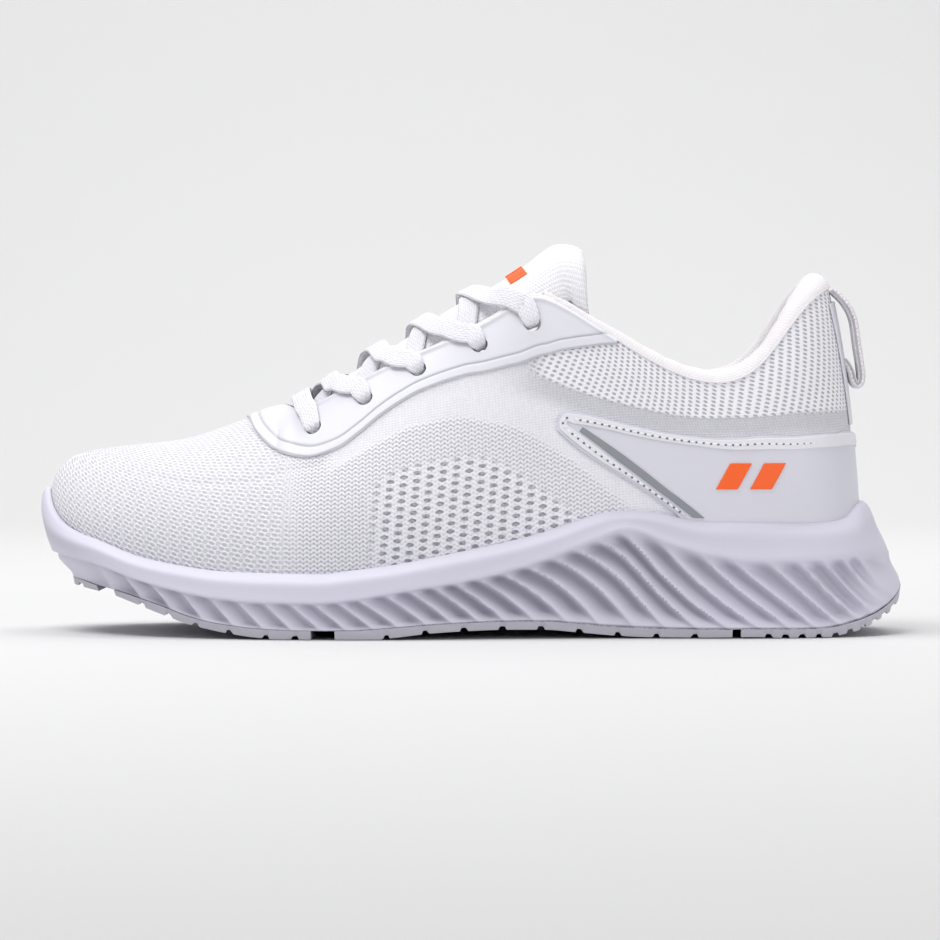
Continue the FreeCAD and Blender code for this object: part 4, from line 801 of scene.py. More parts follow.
def sk(side, s, t, off=0.0):
    """Skin points for arrays of s and t, mm."""
    s, t = np.broadcast_arrays(np.asarray(s, float), np.asarray(t, float))
    f = field(PADDED[side], s, t)
    n = f[..., 3:]
    n = n / np.maximum(np.linalg.norm(n, axis=-1, keepdims=True), 1e-9)
    return f[..., :3] + n * np.asarray(off)[..., None] if np.ndim(off) else f[..., :3] + n * off


# arc lengths for knit coordinates
ARCS = []
for side in (0, 1):
    p = RAW[side][..., :3]
    du = np.linalg.norm(np.diff(p, axis=0), axis=-1)
    u = np.concatenate([np.zeros((1, GT)), np.cumsum(du, axis=0)])
    u = u - u[int(9 / DS)][None]
    dv = np.linalg.norm(np.diff(p, axis=1), axis=-1)
    v = np.concatenate([np.zeros((GS, 1)), np.cumsum(dv, axis=1)], axis=1)
    ARCS.append(np.stack([u, v], axis=-1))


def bilin(g, s, t):
    x, y = np.clip(s / DS, 0, GS - 1.001), np.clip(t / DT, 0, GT - 1.001)
    i, j = np.floor(x).astype(int), np.floor(y).astype(int)
    fx, fy = (x - i)[..., None], (y - j)[..., None]
    return (g[i, j] * (1 - fx) * (1 - fy) + g[i + 1, j] * fx * (1 - fy)
            + g[i, j + 1] * (1 - fx) * fy + g[i + 1, j + 1] * fx * fy)


def uv_at(side, s, t):
    s, t = np.broadcast_arrays(np.asarray(s, float), np.asarray(t, float))
    return bilin(ARCS[side], s, t)


def smooth_np(x, a, b):
    t = np.clip((x - a) / (b - a), 0, 1)
    return t * t * (3 - 2 * t)


def vec(fn, xs):
    return np.array([fn(float(x)) for x in np.ravel(xs)]).reshape(np.shape(xs))


# ------------------------------------------------------------------ mesh helpers
def new_mesh(name, verts, faces, uv=None, attrs=None, weld=None, smooth_deg=45):
    """verts in mm; faces as an int array or list; uv and attrs per vertex."""
    me = D.meshes.new(name)
    v = np.asarray(verts, float) * 0.001
    me.from_pydata(v.tolist(), [], [list(map(int, f)) for f in faces])
    for key, vals in (attrs or {}).items():
        at = me.attributes.new(key, "FLOAT", "POINT")
        at.data.foreach_set("value", np.asarray(vals, np.float32).ravel())
    if uv is not None:
        layer = me.uv_layers.new(name="knit")
        idx = np.empty(len(me.loops), int)
        me.loops.foreach_get("vertex_index", idx)
        layer.data.foreach_set("uv", np.asarray(uv, np.float32)[idx].ravel())
    ob = D.objects.new(name, me)
    scene.collection.objects.link(ob)
    if weld:
        bm = bmesh.new()
        bm.from_mesh(me)
        bmesh.ops.remove_doubles(bm, verts=bm.verts, dist=weld * 0.001)
        bmesh.ops.dissolve_degenerate(bm, dist=1e-7, edges=bm.edges)
        bm.to_mesh(me)
        bm.free()
    shade(ob, smooth_deg)
    return ob


def shade(ob, deg=45):
    me = ob.data
    me.polygons.foreach_set("use_smooth", np.ones(len(me.polygons), bool))
    if deg and deg < 180:
        bm = bmesh.new()
        bm.from_mesh(me)
        lim = math.radians(deg)
        for e in bm.edges:
            if len(e.link_faces) == 2:
                e.smooth = e.calc_face_angle(0.0) < lim
        bm.to_mesh(me)
        bm.free()
    me.update()


def outward(ob):
    bm = bmesh.new()
    bm.from_mesh(ob.data)
    bmesh.ops.recalc_face_normals(bm, faces=bm.faces)
    bm.to_mesh(ob.data)
    bm.free()


def grid_quads(na, nb, base_i=0, flip=False):
    i, j = np.meshgrid(np.arange(na - 1), np.arange(nb - 1), indexing="ij")
    a = base_i + i * nb + j
    q = np.stack([a, a + 1, a + nb + 1, a + nb], axis=-1).reshape(-1, 4)
    return q[:, ::-1] if flip else q


def rim_quads(na, nb, o0, i0, sides, rows=None):
    """Quads joining the borders of two equal grids."""
    out = []
    rows = range(na - 1) if rows is None else rows
    if "b0" in sides:
        out += [(o0 + i * nb, i0 + i * nb, i0 + (i + 1) * nb, o0 + (i + 1) * nb) for i in range(na - 1)]
    if "b1" in sides:
        e = nb - 1
        out += [(o0 + i * nb + e, o0 + (i + 1) * nb + e, i0 + (i + 1) * nb + e, i0 + i * nb + e)
                for i in rows]
    if "a0" in sides:
        out += [(o0 + j, o0 + j + 1, i0 + j + 1, i0 + j) for j in range(nb - 1)]
    if "a1" in sides:
        e = (na - 1) * nb
        out += [(o0 + e + j, i0 + e + j, i0 + e + j + 1, o0 + e + j + 1) for j in range(nb - 1)]
    return out


def slab_ob(name, parts, weld=0.02, smooth_deg=45):
    """parts: (outer, inner, sides, rows, uv, attrs) grids (na, nb, 3) in mm."""
    vs, fs, uvs, ats = [], [], [], {}
    n = 0
    for outer, inner, sides, rows, uv, attrs in parts:
        na, nb = outer.shape[:2]
        m = na * nb
        vs += [outer.reshape(-1, 3), inner.reshape(-1, 3)]
        uv = np.zeros((na, nb, 2)) if uv is None else uv
        uvs += [uv.reshape(-1, 2)] * 2
        for k in (attrs or {}):
            ats.setdefault(k, []).extend([attrs[k].ravel()] * 2)
        fs += grid_quads(na, nb, n).tolist() + grid_quads(na, nb, n + m, True).tolist()
        fs += rim_quads(na, nb, n, n + m, sides, rows)
        n += 2 * m
    ob = new_mesh(name, np.concatenate(vs), fs, np.concatenate(uvs),
                  {k: np.concatenate(v) for k, v in ats.items()}, weld, None)
    outward(ob)
    shade(ob, smooth_deg)
    return ob


def bevel(ob, width, segs=2, deg=40):
    m = ob.modifiers.new("Edge", "BEVEL")
    m.width, m.segments, m.limit_method = width * 0.001, segs, "ANGLE"
    m.angle_limit = math.radians(deg)
    m.harden_normals = False
    apply_mods(ob)
    shade(ob, 50)


def apply_mods(ob):
    dg = bpy.context.evaluated_depsgraph_get()
    dg.update()
    me = D.meshes.new_from_object(ob.evaluated_get(dg))
    old = ob.data
    ob.modifiers.clear()
    ob.data = me
    D.meshes.remove(old)


# ------------------------------------------------------------------ node materials
class X:
    """A node socket with arithmetic."""

    def __init__(self, tree, sock):
        self.t, self.s = tree, sock

    def op(self, kind, *others, clamp=False):
        n = self.t.nodes.new("ShaderNodeMath")
        n.operation, n.use_clamp = kind, clamp
        for i, o in enumerate((self,) + others):
            if isinstance(o, X):
                self.t.links.new(o.s, n.inputs[i])
            else:
                n.inputs[i].default_value = float(o)
        return X(self.t, n.outputs[0])

    def __add__(self, o): return self.op("ADD", o)
    __radd__ = __add__
    def __sub__(self, o): return self.op("SUBTRACT", o)
    def __mul__(self, o): return self.op("MULTIPLY", o)
    __rmul__ = __mul__
    def __truediv__(self, o): return self.op("DIVIDE", o)
    def frac(self): return self.op("FRACT")
    def floor(self): return self.op("FLOOR")
    def abs(self): return self.op("ABSOLUTE")
    def sin(self): return self.op("SINE")
    def pow(self, k): return self.op("POWER", k)
    def inv(self): return (self * -1.0) + 1.0
    def max(self, o): return self.op("MAXIMUM", o)
    def min(self, o): return self.op("MINIMUM", o)

    def ramp(self, a, b):
        n = self.t.nodes.new("ShaderNodeMapRange")
        n.interpolation_type = "SMOOTHSTEP"
        self.t.links.new(self.s, n.inputs[0])
        n.inputs[1].default_value, n.inputs[2].default_value = a, b
        return X(self.t, n.outputs[0])


class Mat:
    def __init__(self, name, color, rough=0.6, spec=0.35, sheen=0.0, sss=0.0):
        self.m = D.materials.new(name)
        self.m.use_nodes = True
        self.t = self.m.node_tree
        self.b = self.t.nodes["Principled BSDF"]
        self.b.inputs["Base Color"].default_value = (*color, 1)
        self.b.inputs["Roughness"].default_value = rough
        self.b.inputs["Specular IOR Level"].default_value = spec
        self.b.inputs["Sheen Weight"].default_value = sheen
        if sss:
            self.b.inputs["Subsurface Weight"].default_value = sss
            self.b.inputs["Subsurface Radius"].default_value = (0.004, 0.0035, 0.004)
            self.b.inputs["Subsurface Scale"].default_value = 1.0
        self.color = color

    def uv(self):
        n = self.t.nodes.new("ShaderNodeUVMap")
        n.uv_map = "knit"
        s = self.t.nodes.new("ShaderNodeSeparateXYZ")
        self.t.links.new(n.outputs[0], s.inputs[0])
        return X(self.t, s.outputs[0]), X(self.t, s.outputs[1])

    def xyz(self, scale=1000.0):
        n = self.t.nodes.new("ShaderNodeTexCoord")
        s = self.t.nodes.new("ShaderNodeSeparateXYZ")
        self.t.links.new(n.outputs["Object"], s.inputs[0])
        return [X(self.t, s.outputs[i]) * scale for i in range(3)]

    def attr(self, name):
        n = self.t.nodes.new("ShaderNodeAttribute")
        n.attribute_name = name
        return X(self.t, n.outputs["Fac"])

    def noise(self, scale, detail=3.0, coord="Object"):
        tc = self.t.nodes.new("ShaderNodeTexCoord")
        n = self.t.nodes.new("ShaderNodeTexNoise")
        n.inputs["Scale"].default_value = scale
        n.inputs["Detail"].default_value = detail
        self.t.links.new(tc.outputs[coord], n.inputs["Vector"])
        return X(self.t, n.outputs[0])

    def tint(self, fac, dark, base=None):
        """Base colour from color (fac 0) to dark (fac 1)."""
        n = self.t.nodes.new("ShaderNodeMix")
        n.data_type = "RGBA"
        self.t.links.new(fac.s, n.inputs[0])
        src = base or self.color
        if isinstance(src, X):
            self.t.links.new(src.s, n.inputs[6])
        else:
            n.inputs[6].default_value = (*src, 1)
        n.inputs[7].default_value = (*dark, 1)
        self.t.links.new(n.outputs[2], self.b.inputs["Base Color"])
        return X(self.t, n.outputs[2])

    def bump(self, height, dist_mm, strength=1.0):
        n = self.t.nodes.new("ShaderNodeBump")
        n.inputs["Strength"].default_value = strength
        n.inputs["Distance"].default_value = dist_mm * 0.001
        self.t.links.new(height.s, n.inputs["Height"])
        self.t.links.new(n.outputs[0], self.b.inputs["Normal"])
        return n

    def rough(self, fac, a, b):
        r = fac * (b - a) + a
        self.t.links.new(r.s, self.b.inputs["Roughness"])


def put(ob, mat, body="shoe", replaces=(), blend=None):
    ob.data.materials.clear()
    ob.data.materials.append(mat.m)
    if replaces:
        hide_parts(*replaces)
    if blend:
        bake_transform(ob)
    else:
        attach(ob, body)
    return ob


FLEX = ("shoe", "forefoot", (-0.056, 0, 0.018), (-0.108, 0, 0.018))
FOLD = ("shoe", "tongue_tip", (0.0035, 0, 0.107), (0.0205, 0, 0.119))


def v_knit(u, v, w, h):
    """Stocking stitch: slanted yarn loops in columns; gives the height and a painted shade for the gaps between the
    loops.
    """
    x = (u / w).frac()
    lean = (x * 2 - 1).abs()
    y = (v / h + lean * 0.55).frac()
    loop = (y * math.pi).sin().abs()
    col = (lean * math.pi).sin().abs()
    return loop * 0.65 + col * 0.35, (1 - 0) and (loop.inv() * (col.inv() * 0.6 + 0.4))


def pits(u, v, wu, wv, size_u, size_v, soft=0.35):
    """Staggered lens-shaped pits; 1 inside."""
    row = (v / wv).floor()
    off = (row / 2).frac()
    x = ((u / wu + off).frac() - 0.5) / size_u
    y = ((v / wv).frac() - 0.5) / size_v
    d = x * x + y * y
    return d.ramp(1.0 + soft, 1.0 - soft)


# knit
knit_m = Mat("knit_fabric", (0.90, 0.89, 0.94), 0.85, 0.2, 0.3)
u, v = knit_m.uv()
hole_a, ankle_a, band_a, toe_a, shade_a = [knit_m.attr(k) for k in ("zone_hole", "zone_ankle", "zone_band",
                                                                    "zone_toe", "zone_shade")]
h1, stitch_gap_shade = v_knit(u, v, 2.3, 1.45)
lens = pits(u + v * 0.9, v - u * 0.20, 5.3, 2.5, 0.25, 0.30)
pique = pits(u + v * 0.45, v, 2.9, 1.35, 0.22, 0.36, 0.6)
fine = ((v * (2 * math.pi / 0.9)).sin() * 0.5 + 0.5) * ((u * (2 * math.pi / 1.1)).sin() * 0.5 + 0.5)
toe_line = ((u * 0.35 + v) * (2 * math.pi / 1.5)).sin() * 0.5 + 0.5
toe_cell = pits(u, v, 2.2, 1.5, 0.4, 0.4, 0.5)
mid = (hole_a.max(ankle_a).max(band_a).max(toe_a)).inv()
height = (h1 * mid + fine * band_a * 0.35 + (lens.inv() * 0.7 + h1 * 0.3) * hole_a
          + (pique.inv() * 0.8 + fine * 0.2) * ankle_a + (toe_line * 0.5 + toe_cell.inv() * 0.5) * toe_a * 0.7)
# painted shade: dark darkens the gaps between stitches and the insides of the lens, pique and toe pits
dark = (stitch_gap_shade * mid * 0.85 + (lens * 0.68 + stitch_gap_shade * 0.48) * hole_a + (pique * 0.66) * ankle_a
        + fine.inv() * band_a * 0.16 + (toe_cell * 0.34 + toe_line.inv() * 0.14) * toe_a)
fuzz = knit_m.noise(900.0, 4.0)
cloud = knit_m.noise(30.0, 2.0)
kx, ky, kz = knit_m.xyz()
# painted shade: the knit darkens towards the sole at the toe end (low_k); zone_shade paints the shaded band below the
# ankle mesh; fuzz and cloud are random tone
low_k = kz.ramp(62.0, 22.0) * kx.ramp(60.0, -20.0)
dark = (dark + low_k * 0.13 + shade_a * 0.34 + (fuzz - 0.5) * 0.20 + (cloud - 0.5) * 0.08).max(0.0).min(1.0)
knit_m.tint(dark, (0.25, 0.25, 0.30))
knit_m.bump(height + fuzz * 0.15, 0.55, 0.75)


def plain(name, color, rough, grain=0.0, grain_scale=1500.0, sheen=0.0, sss=0.0, spec=0.4, vary=0.05):
    m = Mat(name, color, rough, spec, sheen, sss)
    n = m.noise(grain_scale, 4.0)
    c = m.noise(18.0, 3.0)
    m.base = m.tint(((c - 0.45) * (vary * 6) + (n - 0.5) * vary * 2).max(0.0).min(1.0),
                    tuple(k * 0.82 for k in color))
    if grain:
        m.bump(n, grain, 0.6)
    m.rough(n, max(rough - 0.08, 0.05), min(rough + 0.08, 1.0))
    return m


film_m = plain("smooth_overlay_film", (0.74, 0.735, 0.795), 0.42, 0.05, 2600.0)
# the film is darkened by the painted shade of the embossed groove and the lowered edge
film_m.tint((film_m.attr("groove_shade") * 0.62).min(1.0), (0.24, 0.24, 0.27), film_m.base)
leather_m = plain("heel_panel_leather", (0.70, 0.695, 0.77), 0.38, 0.07, 1400.0)
trim_m = plain("trim_film", (0.80, 0.795, 0.845), 0.42, 0.05, 2200.0)
stripe_m = plain("grey_stripe", (0.27, 0.285, 0.31), 0.45, 0.05, 2400.0)
accent_m = plain("orange_print", (1.0, 0.135, 0.02), 0.45, 0.03, 2600.0)
foam_m = Mat("midsole_foam", (0.66, 0.643, 0.745), 0.5, 0.35, 0.0, 0.05)
fn, fc = foam_m.noise(3200.0, 4.0), foam_m.noise(20.0, 3.0)
# painted shade on the midsole: darker in the rib troughs and the flange's middle band, less towards the heel; seam
# paints shade along the joint with the outsole; noise is random tone
heel_shade_ease = foam_m.xyz()[0].ramp(45.0, 95.0)
foam_shade_and_tone = (foam_m.attr("painted_dip_shade") * (heel_shade_ease * -0.34 + 0.72) + foam_m.attr("seam") * 0.9 + (fc - 0.5) * 0.08 + (fn - 0.5) * 0.08).max(0.0).min(1.0)
foam_m.tint(foam_shade_and_tone, (0.24, 0.235, 0.29))
foam_m.bump(fn, 0.05, 0.6)
foam_m.rough(fn, 0.44, 0.58)
rubber_m = plain("outsole_rubber", (0.52, 0.508, 0.575), 0.6, 0.06, 2000.0)
board_m = plain("inner_board", (0.75, 0.74, 0.70), 0.8, 0.1, 900.0)
pufoam_m = plain("open_foam", (0.85, 0.83, 0.78), 0.95, 0.5, 2500.0)
thread_m = plain("sewing_thread", (0.88, 0.875, 0.9), 0.7, 0.03, 4000.0, sheen=0.2)
# painted shade: dark material for the needle holes between stitches
needle_hole_shade_m = plain("needle_hole_shade", (0.16, 0.16, 0.18), 0.8, 0.0)
aglet_m = plain("aglet_plastic", (0.9, 0.9, 0.92), 0.2, 0.0)


def woven(name, color, wu, wv, depth, gap_shade=0.3, sheen=0.3, twill=0.0, dark=None):
    m = Mat(name, color, 0.85, 0.2, sheen)
    u, v = m.uv()
    row = (v / wv).floor()
    x = ((u / wu) + (row / 2).frac() + v * twill).frac()
    y = (v / wv).frac()
    h = (x * math.pi).sin().abs() * (y * math.pi).sin().abs()
    n = m.noise(1200.0, 4.0)
    # painted shade in the gaps between the threads, plus random tone
    m.tint((h.inv() * gap_shade + (n - 0.5) * 0.15).max(0.0).min(1.0), dark or tuple(k * 0.5 for k in color))
    m.bump(h + n * 0.2, depth, 0.8)
    return m


lace_m = woven("lace_weave", (0.88, 0.87, 0.93), 1.9, 0.85, 0.30, 0.17)
tongue_m = woven("tongue_knit", (0.93, 0.925, 0.96), 1.0, 1.2, 0.25, 0.16)
lining_m = woven("lining_knit", (0.92, 0.885, 0.915), 1.1, 0.8, 0.22, 0.18, 0.6)
webbing_m = woven("webbing", (0.90, 0.87, 0.915), 1.4, 0.8, 0.3, 0.3)
sock_m = woven("insole_cloth", (0.62, 0.62, 0.66), 1.2, 0.9, 0.25, 0.3)

# ------------------------------------------------------------------ knit upper
NSV, NTV = 281, 85


def zone_masks(p):
    x, z = p[..., 0], p[..., 2]
    za = vec(table([(-20, 90), (10, 87), (23.3, 84.2), (38.7, 78.8), (54, 74.8), (69.3, 71.8), (77, 71.2), (92.3, 71.5),
                    (107.3, 72.8), (122.7, 73.2), (130, 73.5)]), x)
    arch = vec(table([(-60, 40), (-45, 54), (-30, 63.2), (-16.3, 69.5), (-2.7, 71.6), (4, 70.5), (14.3, 68.6),
                      (24.3, 63.2), (34.7, 56.5), (44.7, 48.2), (50.3, 44.2), (60, 36)]), x)
    hol = vec(table([(-34, 46), (-28, 52.5), (-13, 57.5), (0, 59), (10, 56.8), (23, 48.5), (35, 40), (45, 34)]), x)
    ankle = smooth_np(z - za, -0.8, 0.8) * smooth_np(x, 16, 26)
    band = smooth_np(z - arch, -1.0, 1.0) * smooth_np(x, -50, -40) * (1 - ankle)
    low_band = smooth_np(x, 46, 56) * (1 - ankle)
    band = np.maximum(band, low_band)
    hole = smooth_np(hol - z, -1.5, 2.5) * smooth_np(x, -36, -26) * (1 - band) * (1 - ankle)
    toe = (1 - smooth_np(x, -66, -52)) * (1 - band)
    shade_k = smooth_np(z - za, -10.0, -3.5) * (1 - ankle) * smooth_np(x, 2, 30)
    return {"zone_hole": hole, "zone_ankle": ankle, "zone_band": band, "zone_toe": toe, "zone_shade": shade_k}


def pit_np(u, v, wu, wv, su, sv):
    row = np.floor(v / wv)
    x = (((u / wu + np.mod(row / 2, 1.0)) % 1.0) - 0.5) / su
    y = ((v / wv) % 1.0 - 0.5) / sv
    return smooth_np(-(x * x + y * y), -1.4, -0.5)


upper_parts = []
for side in (0, 1):
    s = np.linspace(0, 18, NSV)[:, None] * np.ones((1, NTV))
    t = np.linspace(0, 1, NTV)[None] * np.ones((NSV, 1))
    p0 = sk(side, s, t)
    uvw = uv_at(side, s, t)
    z = zone_masks(p0)
    lens_np = pit_np(uvw[..., 0] + uvw[..., 1] * 0.9, uvw[..., 1] - uvw[..., 0] * 0.20, 5.3, 2.5, 0.25, 0.30)
    disp = -0.30 * lens_np * z["zone_hole"]
    crease = vec(table([(-112, 53), (-103, 51.8), (-92.3, 50.2), (-82, 49.8), (-71.7, 50.5), (-61.7, 53.5),
                        (-48, 56.5), (-44, 58)]), p0[..., 0])
    k = (p0[..., 2] - crease) / 0.9
    disp -= 0.35 * np.exp(-k * k) * smooth_np(p0[..., 0], -112, -98) * (1 - smooth_np(p0[..., 0], -52, -44))
    edge_t = np.minimum(t, 1 - t) * 80
    disp *= smooth_np(edge_t, 0.0, 2.0)
    if side == 0:
        pass
    outer = sk(side, s, t, disp)
    inner = sk(side, s, t, -KNIT)
    rows = [i for i in range(NSV - 1) if s[i, 0] >= 6.0 - 1e-6]
    upper_parts.append((outer, inner, ("b0", "b1"), rows, uvw, z))
upper = slab_ob("knit_upper_look", upper_parts, 0.05, 60)

# ------------------------------------------------------------------ eyestay
NE = 76
NOSE_XZ = np.array([(-75.2, 76.0), (-74.6, 73.5), (-73.2, 70.4), (-71.5, 67.4), (-69.4, 64.9), (-65.7, 61.7), (-62.5, 60.0),
                    (-59.2, 59.0), (-54.5, 58.2), (-49.8, 58.3), (-47.0, 59.1), (-44.2, 60.6), (-38.0, 65.0), (-31.1, 70.2)])
_f = smooth([tuple(q) for q in NOSE_XZ])
NOSE_LINE = np.array([_f(k * 0.05) for k in range(int((len(NOSE_XZ) - 1) / 0.05) + 1)])


def nose_dist(x, z):
    """Side-view distance to the overlay's rounded front outline."""
    q = np.stack([x, z], -1)[..., None, :] - NOSE_LINE
    return np.sqrt((q ** 2).sum(-1).min(-1))


def nose_t(side, s, t_far):
    """Where a row of the skin crosses the rounded front outline."""
    if s > 7.6:
        return t_far
    tt = np.linspace(0.999, 0.55, 180)
    p = sk(side, np.full(tt.shape, s), tt)
    zl = np.interp(p[:, 0], NOSE_LINE[:, 0], NOSE_LINE[:, 1])
    hit = np.nonzero((p[:, 2] < zl) | (p[:, 0] < NOSE_LINE[0, 0]))[0]
    t = tt[hit[0]] if len(hit) else t_far
    k = float(smooth_np(s, 6.7, 7.5))
    return t * (1 - k) + t_far * k


eye_parts, back_parts = [], []
for side in (0, 1):
    sv = np.concatenate([np.linspace(S_FRONT, 6, 19)[:-1], np.linspace(6, S_EYE_END, 210)])
    to = np.array([min(nose_t(side, q, eye_t(q)), 0.995) for q in sv])
    for _ in range(4):
        to[1:-1] = np.where(sv[1:-1] < 7.6, (to[:-2] + 2 * to[1:-1] + to[2:]) / 4, to[1:-1])
    b = np.linspace(0, 1, NE)[None]
    s = sv[:, None] * np.ones((1, NE))
    t = to[:, None] + (1 - to[:, None]) * b
    uvw = uv_at(side, s, t)
    d_out = uvw[..., 1] - uvw[:, :1, 1]
    d_in = uvw[:, -1:, 1] - uvw[..., 1]
    at_p = sk(side, s, t)
    near_k = smooth_np(at_p[..., 0], -56, -44)
    d_e = np.minimum(nose_dist(at_p[..., 0], at_p[..., 2]), d_out + 40 * (1 - near_k)) * (1 - near_k) + d_out * near_k
    off = np.full(s.shape, GAP + T_OV)
    off = off - 0.32 * np.exp(-((d_e - 3.6) / 0.40) ** 2)
    # painted shade along the embossed groove and the lowered outer edge
    groove_shade = np.exp(-((d_e - 3.6) / 0.30) ** 2) + 0.6 * np.exp(-((d_e - 0.25) / 0.28) ** 2)
    off = off + 0.55 * np.exp(-((d_in - 1.1) / 0.85) ** 2) * smooth_np(s, 6.2, 6.8)
    off = off - 0.45 * smooth_np(-d_e, -0.55, 0.0)
    rows = [i for i in range(len(sv) - 1) if sv[i] >= 6.0 - 1e-6]
    eye_parts.append((sk(side, s, t, off), sk(side, s, t, GAP), ("b0", "b1", "a0", "a1"), rows, uvw,
                      {"groove_shade": groove_shade}))
eyestay = slab_ob("eyestay_look", eye_parts, 0.04, 50)

cut_verts, cut_faces = [], []
for side in (0, 1):
    for hs, ht in hole_st:
        c, n = np.array(base(side, hs, ht)), np.array(normal(side, hs, ht))
        a = np.cross(n, [0, 0, 1.0]); a /= np.linalg.norm(a)
        bvec = np.cross(n, a)
        k0, m = len(cut_verts), 28
        for z in (-5.0, 5.0):
            for q in range(m):
                w = 2 * math.pi * q / m
                cut_verts.append(c + n * z + (a * math.cos(w) + bvec * math.sin(w)) * (size("EyeletHole") / 2))
        cut_faces += [(k0 + q, k0 + (q + 1) % m, k0 + m + (q + 1) % m, k0 + m + q) for q in range(m)]
        cut_faces += [tuple(k0 + q for q in range(m))[::-1], tuple(k0 + m + q for q in range(m))]
cutter = new_mesh("cutter", cut_verts, cut_faces, smooth_deg=None)
outward(cutter)


def cut_holes(ob):
    m = ob.modifiers.new("Holes", "BOOLEAN")
    m.operation, m.object, m.solver = "DIFFERENCE", cutter, "EXACT"
    apply_mods(ob)
    shade(ob, 50)


cut_holes(eyestay)
cut_holes(upper)
D.objects.remove(cutter)
put(upper, knit_m, replaces=("knit_upper",), blend=FLEX)
put(eyestay, film_m, replaces=("eyestay_overlay",), blend=FLEX)

# ------------------------------------------------------------------ heel overlay and its strips
def panel_np(side, lo, hi, offs, na, nb, ease_k=0):
    a = np.linspace(0, 1, na)
    l, h = np.array([lo(float(q)) for q in a]), np.array([hi(float(q)) for q in a])
    for _ in range(ease_k):
        l[1:-1] = (l[:-2] + l[2:] + 2 * l[1:-1]) / 4
        h[1:-1] = (h[:-2] + h[2:] + 2 * h[1:-1]) / 4
    b = np.linspace(0, 1, nb)[None, :, None]
    st = l[:, None] * (1 - b) + h[:, None] * b
    uvw = uv_at(side, st[..., 0], st[..., 1])
    return st, [sk(side, st[..., 0], st[..., 1], o) for o in offs], uvw


def wrapped(lo, hi, o_out, o_in, na, nb, ease_k=0):
    """Panel running lateral side, round the heel, medial side."""
    st, (o0, i0), u0 = panel_np(0, lo, hi, (o_out, o_in), na, nb, ease_k)
    _, (o1, i1), u1 = panel_np(1, lo, hi, (o_out, o_in), na, nb, ease_k)
    outer = np.concatenate([o0, o1[-2::-1]])
    inner = np.concatenate([i0, i1[-2::-1]])
    u1 = u1.copy()
    u1[..., 0] = 2 * u0[-1:, :, 0] - u1[..., 0]
    uvw = np.concatenate([u0, u1[-2::-1]])
    return outer, inner, ("a0", "a1", "b0", "b1"), None, uvw, None


def low_look(u):
    s, t = low_edge(u)
    return s, t - 0.035 * step(u, 0.40, 0.46)


ov = slab_ob("heel_overlay_look", [wrapped(low_look, border, O1, GAP, 170, 34)], 0.01)
bevel(ov, 0.3)
put(ov, leather_m, replaces=("heel_overlay",))
tt = slab_ob("top_trim_look", [wrapped(top_lo, top_hi, O1 + 0.5, O1 + 0.02, 150, 8, 60)], 0.01)
bevel(tt, 0.2)
put(tt, trim_m, replaces=("overlay_top_trim",))


def pair(name, lo, hi, o_out, o_in, na, nb, mat, replaced, bev=0.2):
    parts = []
    for side in (0, 1):
        _, (o, i), uvw = panel_np(side, lo, hi, (o_out, o_in), na, nb)
        parts.append((o, i, ("a0", "a1", "b0", "b1"), None, uvw, None))
    ob = slab_ob(name, parts, 0.005)
    if bev:
        bevel(ob, bev)
    return put(ob, mat, replaces=(replaced,) if replaced else ())


pair("diagonal_trim_look", dg_lo, dg_hi, O1 + 0.6, O1 + 0.02, 60, 8, trim_m,
     "overlay_diagonal_trim", 0.2)


def st_narrow(u):
    k = 1.0 - 0.36 * float(smooth_np(u, 0.0, 0.8))
    a, b = st_lo(u), st_hi(u)
    return (a[0] + (b[0] - a[0]) * k, a[1] + (b[1] - a[1]) * k)


pair("stripe_look", st_lo, st_narrow, O1 + 0.4, O1 + 0.02, 60, 6, stripe_m, "overlay_stripe", 0.12)
mark_parts = []
for x0 in (80.0, 91.0):
    lo = path([(x0, 48.2), (x0 + 3.5, 48.2), (x0 + 7.0, 48.2)])
    hi = path([(x0 + 4.6, 56.6), (x0 + 8.1, 56.6), (x0 + 11.6, 56.6)])
    for side in (0, 1):
        _, (o, i), uvw = panel_np(side, lo, hi, (O1 + 0.5, O1 + 0.02), 12, 12)
        mark_parts.append((o, i, ("a0", "a1", "b0", "b1"), None, uvw, None))
mk = slab_ob("heel_mark_look", mark_parts, 0.005)
bevel(mk, 0.2)
put(mk, accent_m, replaces=("heel_emblem",))

nose_o = path([(30.2, 66.6), (29.2, 67.9), (28.9, 69.4), (29.3, 71.0), (30.4, 72.3), (31.9, 72.8), (33.7, 72.6)])
nose_i = path([(32.4, 68.3), (31.6, 69.0), (31.3, 69.5), (31.4, 69.9), (31.9, 70.1), (32.7, 69.9), (33.7, 69.4)])
pair("nose_trim_look", nose_i, nose_o, O1 + 0.56, O1 - 0.2, 40, 8, trim_m, None, 0.2)
t_a, t_b = heel_end(69.0), heel_end(109.5)
bs = slab_ob("backstay_look", [wrapped(lambda u: (17.62 + 0.38 * u, t_a), lambda u: (17.62 + 0.38 * u, t_b),
                                       GAP + 0.8, GAP, 14, 40)], 0.01)
bevel(bs, 0.3)
put(bs, film_m, replaces=("backstay_strip",))

